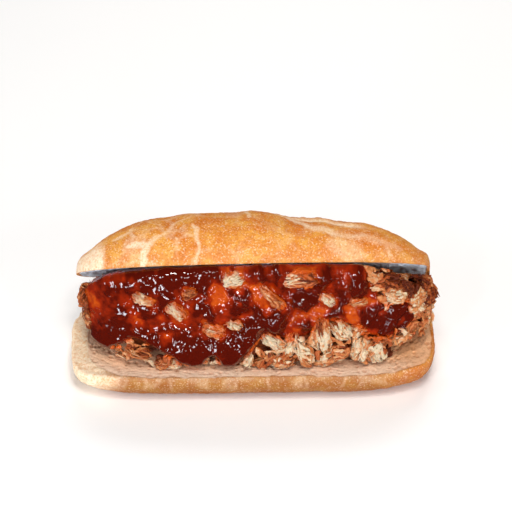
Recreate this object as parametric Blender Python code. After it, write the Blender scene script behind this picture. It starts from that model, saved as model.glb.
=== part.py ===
"""A pulled pork sandwich: a crusty roll cut in two round a heap of pulled pork under thick barbecue sauce.

Metres, +Z up. X runs along the roll and the open side faces -Y. The origin is the middle of the flat spot
that the roll stands on. The lid leans back on the heap, so that the filling shows.
"""

import math

import bmesh
import bpy
import numpy as np

# Driving dimensions, in metres and degrees
ROLL_LENGTH = 0.200
ROLL_WIDTH = 0.083
BASE_HEIGHT = 0.019
LID_LENGTH = 0.194
LID_WIDTH = 0.076
LID_HEIGHT = 0.0300
LID_TILT = 42.0
LID_RISE = 0.0008  # how much higher the lid's right end sits than its middle, and its left end lower
LID_SAG = 0.0006  # how far the lid's ends hang below its middle
LID_BACK_EDGE = (0.0375, 0.0290)  # y and z of the cut edge that the lid leans back on
LID_MIDDLE = 0.0010  # x of the lid's middle
LID_DROOP = 0.0040  # how far the back of the lid's right end hangs below its front
HEAP_LENGTH = 0.188
HEAP_MIDDLE = 0.0035  # x of the heap's middle
HEAP_AXIS = (0.0020, 0.0415)  # y and z that the heap's sections turn round
HEAP_FRONT = ((-0.0325, 0.0194), (-0.0185, 0.0820))  # y and z of the front face's foot and top
HEAP_BACK = ((0.0335, 0.0194), (0.0335, 0.0400))
SAUCE_THICKNESS = 0.0024
GAP = 0.0004  # clear space between touching pieces

BASE_OUTLINE_POWER = 4.0  # above 2 makes the outline of the roll blunter than an ellipse
BASE_FRONT_POWER = 1.4  # added to it at the front and taken from it at the back
BASE_FLAT_INSET = 0.0175  # the flat spot's edge, in from the widest outline
BASE_WIDEST = 0.0160  # height of the widest outline
CRUST_THICKNESS = 0.0018
CRUMB_DISH = 0.0009  # how far the filling presses the cut face down
HEAP_CORNER_POWER = 6.0
PIECE_SPACING = 0.0086
PIECE_SINK = 0.25  # share of a piece's depth that lies in the core
SEED = 20

# The lid's crest: place along it, from -1 at its left end to 1 at its right, and share of the full height
LID_CREST = (
    (-1.00, 0.90),
    (-0.93, 0.76),
    (-0.85, 0.85),
    (-0.76, 0.95),
    (-0.67, 1.03),
    (-0.57, 1.05),
    (-0.47, 1.02),
    (-0.38, 1.05),
    (-0.20, 1.035),
    (-0.10, 1.04),
    (0.02, 1.085),
    (0.10, 1.03),
    (0.20, 0.93),
    (0.30, 0.90),
    (0.38, 0.915),
    (0.46, 0.875),
    (0.54, 0.90),
    (0.62, 0.955),
    (0.72, 0.955),
    (0.80, 0.91),
    (0.87, 0.83),
    (0.94, 0.75),
    (1.00, 0.95),
)

# The pieces that stand out of the sauce: x, z on the front face, turn in degrees, length and width
PROUD_PIECES = (
    (-0.0103, 0.0710, 10, 0.010, 0.007),
    (0.0256, 0.0696, 8, 0.020, 0.009),
    (0.0108, 0.0608, -46, 0.019, 0.005),
    (-0.0579, 0.0600, -20, 0.012, 0.006),
    (-0.0337, 0.0639, 30, 0.009, 0.005),
    (-0.0413, 0.0538, -35, 0.012, 0.007),
    (-0.0214, 0.0430, -25, 0.013, 0.007),
    (-0.0098, 0.0459, -15, 0.008, 0.005),
    (0.0402, 0.0596, -35, 0.009, 0.005),
    (0.0565, 0.0577, 10, 0.009, 0.005),
    (0.0370, 0.0405, -83, 0.024, 0.009),
    (0.0476, 0.0415, -45, 0.015, 0.008),
    (0.0577, 0.0300, 80, 0.015, 0.009),
    (0.0665, 0.0282, -72, 0.017, 0.009),
    (0.0277, 0.0287, -62, 0.017, 0.008),
    (0.0158, 0.0243, 20, 0.013, 0.009),
    (0.0114, 0.0352, -40, 0.016, 0.006),
    (0.0473, 0.0291, 25, 0.011, 0.008),
    (-0.0028, 0.0256, 70, 0.009, 0.005),
    (-0.0619, 0.0282, -12, 0.014, 0.006),
    (-0.0471, 0.0230, 5, 0.012, 0.005),
)

# Lower edge of the sauce with its hanging lobes, and its upper edge: x, z along the front face
SAUCE_HEM = (
    (-0.0900, 0.0462),
    (-0.0850, 0.0303),
    (-0.0717, 0.0303),
    (-0.0609, 0.0378),
    (-0.0511, 0.0303),
    (-0.0402, 0.0235),
    (-0.0340, 0.0190),
    (-0.0270, 0.0190),
    (-0.0215, 0.0265),
    (-0.0175, 0.0255),
    (-0.0150, 0.0180),
    (-0.0085, 0.0180),
    (-0.0040, 0.0250),
    (0.0001, 0.0344),
    (0.0090, 0.0397),
    (0.0208, 0.0362),
    (0.0316, 0.0397),
    (0.0346, 0.0476),
    (0.0434, 0.0476),
    (0.0542, 0.0432),
    (0.0601, 0.0378),
    (0.0690, 0.0350),
    (0.0798, 0.0350),
    (0.0887, 0.0415),
)
SAUCE_TOP = (
    (0.0857, 0.0538),
    (0.0759, 0.0538),
    (0.0690, 0.0574),
    (0.0641, 0.0679),
    (0.0582, 0.0785),
    (-0.0284, 0.0785),
    (-0.0835, 0.0750),
    (-0.0899, 0.0574),
)


def principled(name, colour, roughness):
    """A plain Principled material. The colour is linear."""
    material = bpy.data.materials.new(name)
    material.use_nodes = True
    shader = material.node_tree.nodes["Principled BSDF"]
    shader.inputs["Base Color"].default_value = (*colour, 1.0)
    shader.inputs["Roughness"].default_value = roughness
    material.diffuse_color = (*colour, 1.0)
    return material


def add_object(name, points, faces, material, smooth_angle=50.0):
    """One object from points and faces, with its normals turned outwards."""
    mesh = bpy.data.meshes.new(name)
    mesh.from_pydata([tuple(map(float, point)) for point in points], [], faces)
    work = bmesh.new()
    work.from_mesh(mesh)
    bmesh.ops.recalc_face_normals(work, faces=work.faces)
    work.to_mesh(mesh)
    work.free()
    mesh.materials.append(material)
    mesh.shade_smooth()
    mesh.set_sharp_from_angle(angle=math.radians(smooth_angle))
    made = bpy.data.objects.new(name, mesh)
    bpy.context.scene.collection.objects.link(made)
    return made


def skin(rings, first_tip, last_tip):
    """Points and faces of a closed skin over rings of equal count, closed at both ends on a tip point."""
    rings = np.asarray(rings, float)
    count, around = rings.shape[:2]
    points = np.concatenate([rings.reshape(-1, 3), [first_tip], [last_tip]])
    first, last = count * around, count * around + 1
    faces = []
    for i in range(around):
        j = (i + 1) % around
        faces.append((first, j, i))
        faces.append((last, (count - 1) * around + i, (count - 1) * around + j))
        for k in range(count - 1):
            faces.append((k * around + i, k * around + j, (k + 1) * around + j, (k + 1) * around + i))
    return points, faces


def superellipse(turn, half_length, half_width, power):
    """x and y on an outline that is an ellipse at power 2 and nears a rectangle as the power grows."""
    c, s = np.cos(turn), np.sin(turn)
    x = half_length * np.sign(c) * np.abs(c) ** (2 / power)
    y = half_width * np.sign(s) * np.abs(s) ** (2 / power)
    return x, y


def hand_shaped(turn):
    """A share that makes an outline slightly uneven, as dough shaped by hand is."""
    return 1 + 0.010 * np.sin(2 * turn + 0.6) + 0.007 * np.sin(5 * turn + 2.1) + 0.004 * np.sin(9 * turn)


def base_profile():
    """Inset from the widest outline and height, from the flat spot up the side to the crust's rim."""
    side = [
        (BASE_FLAT_INSET * (1 - math.sin(a)), BASE_WIDEST * (1 - math.cos(a)))
        for a in np.linspace(0, math.pi / 2, 6)
    ]
    rim = [
        (0.0001, BASE_WIDEST + 0.0014),
        (0.0006, BASE_HEIGHT - 0.0006),
        (CRUST_THICKNESS, BASE_HEIGHT),
    ]
    crumb = [
        (CRUST_THICKNESS * 2.2, BASE_HEIGHT - CRUMB_DISH * 0.7),
        (0.0130, BASE_HEIGHT - CRUMB_DISH),
        (0.0260, BASE_HEIGHT - CRUMB_DISH),
    ]
    return side + rim + crumb


def build_base(material):
    """The roll's lower half: rings of the outline up the crust, over the rim and in across the cut face."""
    turn = np.linspace(0, 2 * math.pi, 64, endpoint=False)
    rings = []
    for inset, height in base_profile():
        power = BASE_OUTLINE_POWER - BASE_FRONT_POWER * np.sin(turn) + 0.4 * np.cos(turn)
        x, y = superellipse(turn, ROLL_LENGTH / 2 - inset, ROLL_WIDTH / 2 - inset, power)
        shape = hand_shaped(turn)
        rings.append(np.stack([x * shape, y * shape, np.full_like(turn, height)], axis=-1))
    points, faces = skin(rings, (0, 0, 0), (0, 0, BASE_HEIGHT - CRUMB_DISH))
    return add_object("roll_base", points, faces, material)


def lid_share(along, power_left, fade_left, power_right, fade_right):
    """Share of the full size at a place along the lid, which is -1 at its left tip and 1 at its right."""
    left = (1 - np.clip(-along, 0, 1) ** power_left) ** fade_left
    right = (1 - np.clip(along, 0, 1) ** power_right) ** fade_right
    return left * right


def lid_crest(along):
    """Share of the full height along the crest: a smooth curve through the crest's points, level at each peak."""
    places, shares = np.array(LID_CREST).T
    slopes = np.gradient(shares, places)
    i = np.clip(np.searchsorted(places, along) - 1, 0, len(places) - 2)
    run = places[i + 1] - places[i]
    t = (along - places[i]) / run
    ends = (2 * t**3 - 3 * t**2 + 1) * shares[i] + (3 * t**2 - 2 * t**3) * shares[i + 1]
    return ends + run * ((t**3 - 2 * t**2 + t) * slopes[i] + (t**3 - t**2) * slopes[i + 1])


def lid_lift(x):
    """Height of the lid's cut face over the flat plane through its back edge."""
    share = (x - LID_MIDDLE) / (LID_LENGTH / 2)
    return LID_RISE * share - LID_SAG * share**2


def lid_droop(x):
    """How far the back of the lid's cut face hangs below its front, towards the right end."""
    share = (x - LID_MIDDLE) / (LID_LENGTH / 2)
    return LID_DROOP * np.clip(share * 2.4 - 0.9, 0, 1) ** 2


def score_relief(x, across):
    """Height of the two slashes baked into the crust: a raised ear with a shallow groove in front of it.

    across runs from 0 at the front cut edge, over the crown at 0.5, to 1 at the back cut edge.
    """
    relief = np.zeros_like(x)
    for x_start, x_end, across_start, across_end in ((0.002, 0.064, 0.50, 0.28), (-0.080, -0.014, 0.82, 0.60)):
        share = (x - x_start) / (x_end - x_start)
        inside = np.clip(np.minimum(share, 1 - share) * 6, 0, 1)
        offset = across - (across_start + (across_end - across_start) * share)
        ear = 0.0012 * np.exp(-(((offset - 0.045) / 0.040) ** 2))
        groove = 0.0010 * np.exp(-(((offset + 0.015) / 0.022) ** 2))
        relief += inside * (ear - groove)
    return relief


def crust_waves(x, across):
    """Low swells of the baked crust."""
    return 0.0005 * np.sin(x * 95 + 4 * across + 2.5) + 0.0003 * np.sin(x * 190 - 7 * across + 1.0)


def build_lid(material):
    """The roll's upper half: dome sections along X over a flat cut face, turned back about its back edge."""
    stations = -np.cos(np.linspace(0, math.pi, 50)[1:-1])
    arc = np.linspace(0, math.pi, 21)
    across = arc / math.pi
    rings = []
    for along in stations:
        x = np.full_like(arc, LID_MIDDLE + along * LID_LENGTH / 2)
        half_width = LID_WIDTH / 2 * lid_share(along, 3.0, 0.42, 3.4, 0.42)
        height = LID_HEIGHT * lid_crest(along) * lid_share(along, 3.2, 0.40, 2.4, 0.36)
        c, s = -np.cos(arc), np.sin(arc)
        y = half_width * np.sign(c) * np.abs(c) ** 0.9
        z = height * s**0.86
        lift = (score_relief(x, across) + crust_waves(x, across)) * s * height / LID_HEIGHT
        y = y + lift * c
        z = z + lift * s
        z = z + lid_lift(x) - lid_droop(x) * (1 + c) / 2
        rings.append(np.stack([x, y - LID_WIDTH / 2, z], axis=-1))
    ends = (LID_MIDDLE - LID_LENGTH / 2, LID_MIDDLE + LID_LENGTH / 2)
    tips = [(x, -LID_WIDTH / 2, lid_lift(x) - lid_droop(x) / 2) for x in ends]
    points, faces = skin(rings, *tips)
    lid = add_object("roll_lid", points, faces, material)
    lid.location = (0, *LID_BACK_EDGE)
    lid.rotation_euler.x = -math.radians(LID_TILT)
    return lid


def lid_plane_normal():
    """y and z of the cut face's normal, away from the filling."""
    tilt = math.radians(LID_TILT)
    return np.array([math.sin(tilt), math.cos(tilt)])


def beyond_cut_face(points):
    """How far each point lies beyond the lid's cut face, negative on the filling's side."""
    x = points[..., 0]
    height = (points[..., 1:] - np.array(LID_BACK_EDGE)) @ lid_plane_normal()
    return height - lid_lift(x) + lid_droop(x)


def heap_sides():
    """The four flat sides that the heap's section is rounded from: normals, and distances from its axis."""
    axis = np.array(HEAP_AXIS)
    front_foot, front_top = np.array(HEAP_FRONT)
    back_foot, back_top = np.array(HEAP_BACK)
    front_run = (front_top - front_foot) / np.linalg.norm(front_top - front_foot)
    back_run = (back_top - back_foot) / np.linalg.norm(back_top - back_foot)
    sides = [
        (np.array([0.0, -1.0]), np.array([0.0, BASE_HEIGHT + GAP])),
        (lid_plane_normal(), np.array(LID_BACK_EDGE) - GAP * lid_plane_normal()),
        (np.array([-front_run[1], front_run[0]]), front_foot),
        (np.array([back_run[1], -back_run[0]]), back_foot),
    ]
    normals = np.array([normal for normal, _ in sides])
    distances = np.array([normal @ (point - axis) for normal, point in sides])
    return normals, distances


def heap_point(x, turn):
    """The bare heap's skin at x and a turn round its axis, where turn 0 is +Y and a quarter turn is up."""
    normals, distances = heap_sides()
    direction = np.stack([np.cos(turn), np.sin(turn)], axis=-1)
    distances = np.broadcast_to(distances, (*turn.shape, 4)).copy()
    distances[..., 1] += lid_lift(x) - lid_droop(x)
    reach = np.clip(direction @ normals.T, 0, None) / distances
    radius = (reach**HEAP_CORNER_POWER).sum(axis=-1) ** (-1 / HEAP_CORNER_POWER)
    along = np.clip(np.abs(x - HEAP_MIDDLE) / (HEAP_LENGTH / 2), 0, 1)
    radius = radius * (1 - along**4.5) ** 0.5
    section = np.array(HEAP_AXIS) + radius[..., None] * direction
    return np.concatenate([np.broadcast_to(x, turn.shape)[..., None], section], axis=-1)


def heap_normal(x, turn, step=1e-4):
    """The skin's outward normal, from the slopes along the heap and round it."""
    along = heap_point(x + step, turn) - heap_point(x - step, turn)
    around = heap_point(x, turn + step) - heap_point(x, turn - step)
    normal = np.cross(along, around)
    normal /= np.linalg.norm(normal, axis=-1, keepdims=True)
    outward = heap_point(x, turn)[..., 1:] - np.array(HEAP_AXIS)
    return normal * np.sign((normal[..., 1:] * outward).sum(axis=-1, keepdims=True))


def front_turn(x, height):
    """The turn at which the heap's front face stands at a height."""
    turn = np.linspace(math.radians(113), math.radians(217), 400)
    heights = heap_point(np.full_like(turn, min(max(x, -0.072), 0.078)), turn)[:, 2]
    return float(np.interp(-height, -heights, turn))


def even_turns(start, end, count):
    """Turns from start to end that are evenly spaced along the heap's middle section."""
    turn = np.linspace(math.radians(start), math.radians(end), 600)
    steps = np.linalg.norm(np.diff(heap_point(np.zeros_like(turn), turn), axis=0), axis=1)
    travelled = np.concatenate([[0], np.cumsum(steps)])
    return np.interp(np.linspace(0, travelled[-1], count), travelled, turn)


def rounded_outline(points, passes=2):
    """A closed outline with its corners cut off, as often as it has passes."""
    outline = np.array(points, float)
    for _ in range(passes):
        after = np.roll(outline, -1, axis=0)
        outline = np.stack([0.75 * outline + 0.25 * after, 0.25 * outline + 0.75 * after], axis=1)
        outline = outline.reshape(-1, 2)
    return outline


def depth_inside(places, outline):
    """Distance of each x and z from a closed outline, negative outside it."""
    start, end = outline, np.roll(outline, -1, axis=0)
    run = end - start
    offset = places[:, None] - start
    share = np.clip((offset * run).sum(-1) / (run * run).sum(-1), 0, 1)
    distance = np.linalg.norm(offset - share[..., None] * run, axis=-1).min(axis=1)
    crosses = (start[:, 1] > places[:, None, 1]) != (end[:, 1] > places[:, None, 1])
    rise = np.where(run[:, 1] == 0, 1e-12, run[:, 1])
    at_x = start[:, 0] + (places[:, None, 1] - start[:, 1]) / rise * run[:, 0]
    inside = (crosses & (places[:, None, 0] < at_x)).sum(axis=1) % 2 == 1
    return np.where(inside, distance, -distance)


def inside_sauce(points):
    """How far inside the sauce's outline each point of the heap's front lies."""
    places = points[..., [0, 2]].reshape(-1, 2)
    return depth_inside(places, rounded_outline(SAUCE_HEM + SAUCE_TOP)).reshape(points.shape[:-1])


def room_round(points, pieces):
    """Distance of each point from the nearest piece that stands out of the sauce, less its clear space."""
    room = np.full(points.shape[:-1], 1.0)
    for (place, run, side, out), half_length, half_width, _, covered in pieces:
        if covered:
            continue
        offset = points - place
        reach = np.abs(offset @ run / half_length) ** 2.6 + np.abs(offset @ side / half_width) ** 2.6
        reach = (reach + np.abs(offset @ out / 0.012) ** 2.6) ** (1 / 2.6)
        distance = np.linalg.norm(offset, axis=-1) * (1 - 1 / np.maximum(reach, 1e-6))
        room = np.minimum(room, distance - 3.2 * GAP)
    return room


def piece_frame(x, turn, degrees):
    """Place, run, side and outward directions of a piece of meat that lies on the heap's skin."""
    at, turns = np.array([x]), np.array([turn])
    place = heap_point(at, turns)[0]
    out = heap_normal(at, turns)[0]
    level = np.array([1.0, 0.0, 0.0]) - out[0] * out
    level /= np.linalg.norm(level)
    up = np.cross(level, out)
    up *= np.sign(up[2]) or 1.0
    angle = math.radians(degrees)
    run = level * math.cos(angle) + up * math.sin(angle)
    return place, run, np.cross(out, run), out


def scattered_pieces():
    """Pieces over all the heap's skin that shows, none nearer to another than the spacing.

    Each is its frame, half length, half width, depth and whether sauce covers it.
    """
    rng = np.random.RandomState(SEED)
    kept = []
    places = [heap_point(np.array([x]), np.array([front_turn(x, z)]))[0] for x, z, *_ in PROUD_PIECES]
    for _ in range(1500):
        x = HEAP_MIDDLE + rng.uniform(-0.495, 0.495) * HEAP_LENGTH
        turn = rng.uniform(math.radians(-48), math.radians(222))
        degrees = rng.uniform(-90, 90)
        half_length, half_width = rng.uniform(0.0052, 0.0092), rng.uniform(0.0034, 0.0048)
        depth = rng.uniform(0.0034, 0.0050)
        frame = piece_frame(x, turn, degrees)
        place = frame[0]
        under_lid = beyond_cut_face(place) > -0.0042
        on_bread = place[2] < BASE_HEIGHT + 0.0030
        crowded = any(np.linalg.norm(place - other) < PIECE_SPACING for other in places)
        if under_lid or on_bread or crowded:
            continue
        places.append(place)
        on_front = place[1] < HEAP_AXIS[0]
        covered = on_front and inside_sauce(place) > 0.0008
        kept.append((frame, half_length, half_width, depth, covered))
    return kept


def proud_pieces():
    """The pieces that stand out of the sauce, in the same form as the scattered ones."""
    kept = []
    for x, z, degrees, length, width in PROUD_PIECES:
        frame = piece_frame(x, front_turn(x, z), degrees)
        kept.append((frame, length / 2, width / 2, SAUCE_THICKNESS + 0.0042, False))
    return kept


def keep_clear(points):
    """Points moved out of the roll's base and lid, where they had gone in."""
    points = np.array(points)
    points[:, 2] = np.maximum(points[:, 2], BASE_HEIGHT + 1.6 * GAP)
    beyond = beyond_cut_face(points) + 1.6 * GAP
    points[:, 1:] -= np.clip(beyond, 0, None)[:, None] * lid_plane_normal()
    return points


def meat_piece(frame, half_length, half_width, depth):
    """Points and faces of one torn piece: six-sided sections along its grain, blunt at both ends."""
    place, run, side, out = frame
    turn = np.linspace(0, 2 * math.pi, 6, endpoint=False)
    centre = place + out * depth * (0.5 - PIECE_SINK)
    rings = []
    for along, girth in ((-0.82, 0.62), (-0.30, 1.0), (0.35, 0.96), (0.84, 0.58)):
        across = np.cos(turn)[:, None] * side * half_width + np.sin(turn)[:, None] * out * depth * 0.62
        bow = -out * 0.12 * half_length * along**2
        rings.append(centre + run * along * half_length + bow + girth * across)
    points, faces = skin(rings, centre - run * half_length, centre + run * half_length)
    return keep_clear(points), faces


def keep_outer_skin(mesh):
    """Fills the hollows sealed between pieces: of all the closed skins in the mesh, only the largest stays."""
    work = bmesh.new()
    work.from_mesh(mesh)
    left = set(work.verts)
    skins = []
    while left:
        found = {left.pop()}
        front = list(found)
        while front:
            point = front.pop()
            near = {edge.other_vert(point) for edge in point.link_edges} & left
            left -= near
            found |= near
            front.extend(near)
        skins.append(found)
    skins.sort(key=len)
    for loose in skins[:-1]:
        bmesh.ops.delete(work, geom=list(loose), context="VERTS")
    work.to_mesh(mesh)
    work.free()


def build_pork(material, pieces):
    """The heap of pulled pork: a smooth core with every piece that shows fused onto it."""
    stations = HEAP_MIDDLE + np.sin(np.linspace(-math.pi / 2, math.pi / 2, 36)[1:-1]) * HEAP_LENGTH / 2
    turn = even_turns(0, 360, 33)[:-1]
    rings = [heap_point(np.full_like(turn, x), turn) for x in stations]
    tips = [(HEAP_MIDDLE + sign * HEAP_LENGTH / 2, *HEAP_AXIS) for sign in (-1, 1)]
    core = add_object("pulled_pork", *skin(rings, *tips), material)
    fused = bpy.data.collections.new("pork_pieces")
    bpy.context.scene.collection.children.link(fused)
    for number, (frame, half_length, half_width, depth, covered) in enumerate(pieces):
        if covered:
            continue
        piece = add_object(f"piece_{number}", *meat_piece(frame, half_length, half_width, depth), material)
        bpy.context.scene.collection.objects.unlink(piece)
        fused.objects.link(piece)
    union = core.modifiers.new("union", "BOOLEAN")
    union.operation = "UNION"
    union.operand_type = "COLLECTION"
    union.collection = fused
    union.solver = "MANIFOLD"
    bpy.context.view_layer.objects.active = core
    bpy.ops.object.modifier_apply(modifier=union.name)
    for piece in list(fused.objects):
        bpy.data.objects.remove(piece)
    bpy.data.collections.remove(fused)
    keep_outer_skin(core.data)
    return core


def lump_height(points, pieces):
    """Height over the bare heap of the meat under the sauce: the tallest of the rounded caps at each point."""
    height = np.zeros(points.shape[:-1])
    for (place, run, side, _), half_length, half_width, depth, covered in pieces:
        if not covered:
            continue
        offset = points - place
        reach = (offset @ run / (half_length * 1.15)) ** 2 + (offset @ side / (half_width * 1.35)) ** 2
        height = np.maximum(height, depth * np.sqrt(np.clip(1 - reach, 0, None)))
    return height


def softened(grid, passes):
    """A grid of values, each averaged with its four neighbours."""
    for _ in range(passes):
        wide = np.pad(grid, 1, mode="edge")
        grid = (2 * grid + wide[:-2, 1:-1] + wide[2:, 1:-1] + wide[1:-1, :-2] + wide[1:-1, 2:]) / 6
    return grid


def without_corner_contacts(cells):
    """Cells of a grid, with one more added wherever two touch only at a corner."""
    cells = cells.copy()
    while True:
        a, b, c, d = cells[:-1, :-1], cells[1:, 1:], cells[1:, :-1], cells[:-1, 1:]
        falling = a & b & ~c & ~d
        rising = c & d & ~a & ~b
        if not falling.any() and not rising.any():
            return cells
        cells[1:, :-1] |= falling
        cells[:-1, :-1] |= rising


def largest_patch(cells):
    """The largest group of cells that join at their sides."""
    label = np.arange(1, cells.size + 1).reshape(cells.shape) * cells
    while True:
        wide = np.pad(label, 1)
        around = [wide[:-2, 1:-1], wide[2:, 1:-1], wide[1:-1, :-2], wide[1:-1, 2:]]
        grown = np.maximum.reduce([label, *around]) * cells
        if (grown == label).all():
            break
        label = grown
    values, counts = np.unique(label[label > 0], return_counts=True)
    return label == values[counts.argmax()]


def sauce_rim(x, turn, pieces):
    """Distance of each place on the heap's front from the nearest border of the sauce, negative outside it."""
    points = heap_point(x, turn)
    under_lid = -beyond_cut_face(points) - 0.0028
    over_base = points[..., 2] - BASE_HEIGHT - 0.0012
    return np.minimum.reduce([inside_sauce(points), room_round(points, pieces), under_lid, over_base])


def drawn_to_border(x, turn, border, pieces):
    """The grid with its border places moved onto the sauce's border, each by less than half a cell."""
    step_x, step_turn = x[1, 0] - x[0, 0], turn[0, 1:] - turn[0, :-1]
    most_x, most_turn = 0.42 * step_x, 0.42 * step_turn.min()
    moved_x, moved_turn = x.copy(), turn.copy()
    for _ in range(4):
        rim = sauce_rim(moved_x, moved_turn, pieces)
        slope_x = (sauce_rim(moved_x + 1e-4, moved_turn, pieces) - rim) / 1e-4
        slope_turn = (sauce_rim(moved_x, moved_turn + 1e-3, pieces) - rim) / 1e-3
        reach = 0.035
        size = np.maximum(slope_x**2 + (slope_turn / reach) ** 2, 0.2)
        moved_x = np.clip(moved_x - rim * slope_x / size, x - most_x, x + most_x)
        moved_turn = moved_turn - rim * slope_turn / reach**2 / size
        moved_turn = np.clip(moved_turn, turn - most_turn, turn + most_turn)
    return np.where(border, moved_x, x), np.where(border, moved_turn, turn)


def build_sauce(material, pieces):
    """The blanket of sauce: its upper skin follows the lumps of meat, its lower skin lies on the heap."""
    columns, rows = 62, 24
    x = HEAP_MIDDLE + np.linspace(-0.4935, 0.4935, columns) * HEAP_LENGTH
    x, turn = np.meshgrid(x, even_turns(113, 217, rows), indexing="ij")
    rim = sauce_rim(x, turn, pieces)
    corners = np.stack([rim[:-1, :-1], rim[1:, :-1], rim[:-1, 1:], rim[1:, 1:]])
    cells = (corners.mean(axis=0) > 0) & (corners.min(axis=0) > -0.0010)
    cells = largest_patch(without_corner_contacts(cells))
    wide = np.pad(cells, 1)
    round_each = wide[:-1, :-1].astype(int) + wide[1:, :-1] + wide[:-1, 1:] + wide[1:, 1:]
    border = (round_each > 0) & (round_each < 4)
    border[:, 0] = border[:, -1] = False
    x, turn = drawn_to_border(x, turn, border, pieces)
    skin_points, normals = heap_point(x, turn), heap_normal(x, turn)
    rim = np.where(border, 0, sauce_rim(x, turn, pieces))
    swell = SAUCE_THICKNESS * np.sqrt(np.clip(rim / 0.004, 0.08, 1))
    height = softened(lump_height(skin_points, pieces), 2) * np.clip(rim / 0.003, 0, 1) + swell
    lower = skin_points + normals * 1.6 * GAP
    upper = keep_clear((lower + normals * height[..., None]).reshape(-1, 3))
    points = np.concatenate([lower.reshape(-1, 3), upper])
    layer = columns * rows
    faces = []
    for i, j in zip(*np.nonzero(cells)):
        corners = [i * rows + j, (i + 1) * rows + j, (i + 1) * rows + j + 1, i * rows + j + 1]
        faces.append(tuple(corners[::-1]))
        faces.append(tuple(corner + layer for corner in corners))
        sides = ((i, j - 1), (i + 1, j), (i, j + 1), (i - 1, j))
        for k, (side_i, side_j) in enumerate(sides):
            within = 0 <= side_i < columns - 1 and 0 <= side_j < rows - 1
            if within and cells[side_i, side_j]:
                continue
            a, b = corners[k], corners[(k + 1) % 4]
            faces.append((a, b, b + layer, a + layer))
    used = sorted({corner for face in faces for corner in face})
    renumber = {old: new for new, old in enumerate(used)}
    faces = [tuple(renumber[corner] for corner in face) for face in faces]
    return add_object("barbecue_sauce", points[used], faces, material)


def main():
    """Clears the scene and builds the four pieces."""
    for old in list(bpy.data.objects):
        bpy.data.objects.remove(old)
    crust = principled("baked_crust", (0.62, 0.32, 0.11), 0.6)
    meat = principled("pulled_pork_meat", (0.52, 0.27, 0.13), 0.5)
    sauce = principled("glossy_sauce", (0.22, 0.018, 0.006), 0.12)
    pieces = scattered_pieces() + proud_pieces()
    build_base(crust)
    build_lid(crust)
    build_pork(meat, pieces)
    build_sauce(sauce, pieces)


main()
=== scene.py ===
"""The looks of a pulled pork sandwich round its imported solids: a crusty roll, torn pork and thick sauce.

Metres, +Z up. X runs along the roll and the open side faces -Y, as in the solids.
"""

import math

import bpy
import numpy as np
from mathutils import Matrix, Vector


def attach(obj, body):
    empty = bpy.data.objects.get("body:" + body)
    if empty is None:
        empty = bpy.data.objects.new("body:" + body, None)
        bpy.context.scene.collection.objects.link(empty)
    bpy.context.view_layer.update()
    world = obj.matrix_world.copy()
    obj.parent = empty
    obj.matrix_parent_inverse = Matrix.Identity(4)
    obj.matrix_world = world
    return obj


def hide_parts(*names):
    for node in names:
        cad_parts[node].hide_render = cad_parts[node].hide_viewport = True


bl_info = {
    "name": "Pulled Pork Sandwich",
    "version": (1, 0, 0),
    "blender": (4, 5, 0),
    "location": "View3D > Sidebar > Sandwich",
    "description": "Bread, pulled pork and sauce worked out from formulas round the packed solids",
    "category": "Add Mesh",
}

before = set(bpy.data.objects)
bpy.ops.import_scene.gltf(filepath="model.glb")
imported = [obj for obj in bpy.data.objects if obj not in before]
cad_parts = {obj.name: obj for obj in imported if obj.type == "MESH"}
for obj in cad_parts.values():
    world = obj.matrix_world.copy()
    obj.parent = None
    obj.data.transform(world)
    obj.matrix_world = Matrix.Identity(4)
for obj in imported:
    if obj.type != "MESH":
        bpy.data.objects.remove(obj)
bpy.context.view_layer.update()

# The solids' own dimensions, in metres and degrees
ROLL_LENGTH = 0.200
ROLL_WIDTH = 0.083
BASE_HEIGHT = 0.019
LID_LENGTH = 0.194
LID_WIDTH = 0.076
LID_HEIGHT = 0.0300
LID_TILT = 42.0
LID_RISE = 0.0008
LID_SAG = 0.0006
LID_BACK_EDGE = np.array((0.0375, 0.0290))
LID_MIDDLE = 0.0010
LID_DROOP = 0.0040
HEAP_LENGTH = 0.188
HEAP_MIDDLE = 0.0035
HEAP_AXIS = np.array((0.0020, 0.0415))
HEAP_FRONT = np.array(((-0.0325, 0.0194), (-0.0185, 0.0820)))
HEAP_BACK = np.array(((0.0335, 0.0194), (0.0335, 0.0400)))
HEAP_CORNER_POWER = 6.0
GAP = 0.0004
BASE_FLAT_INSET = 0.0175
BASE_WIDEST = 0.0160
CRUMB_DISH = 0.0009
PIECE_SPACING = 0.0086
LAYOUT_SEED = 20

# The cut face of the lower half: width of the crust's rounded rim, and of the crumb modelled inside it
RIM_WIDTH = 0.0018
CRUMB_WIDTH = 0.0245
# Power and fade of the lid's left and right ends, in height and in width, and its crust's length across
LID_HEIGHT_ENDS = (3.2, 0.40, 2.4, 0.36)
LID_WIDTH_ENDS = (3.0, 0.42, 2.9, 0.44)
LID_GIRTH = 0.098
# Turns between which the heap's skin shows
HEAP_TURNS = (math.radians(-48), math.radians(222))
# A torn piece's middle lies this share of its depth over the heap's skin, its top rises this share over its
# middle, and its ends bow down by this share of its half length
PIECE_SEAT = 0.25
PIECE_RISE = 0.62
PIECE_BOW = 0.12
# Depths of the pieces that stand out of the sauce and of those at the ends, and the least depth of both kinds
PROUD_DEPTH = 0.0066
END_DEPTH = 0.0062
DEEP_PIECE = 0.0060
# How far under the sauce's skin covered meat is pressed
UNDER_SAUCE = 0.0012
# How far the grain coordinate squeezes a fibre's length
GRAIN_SQUEEZE = 0.16

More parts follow.
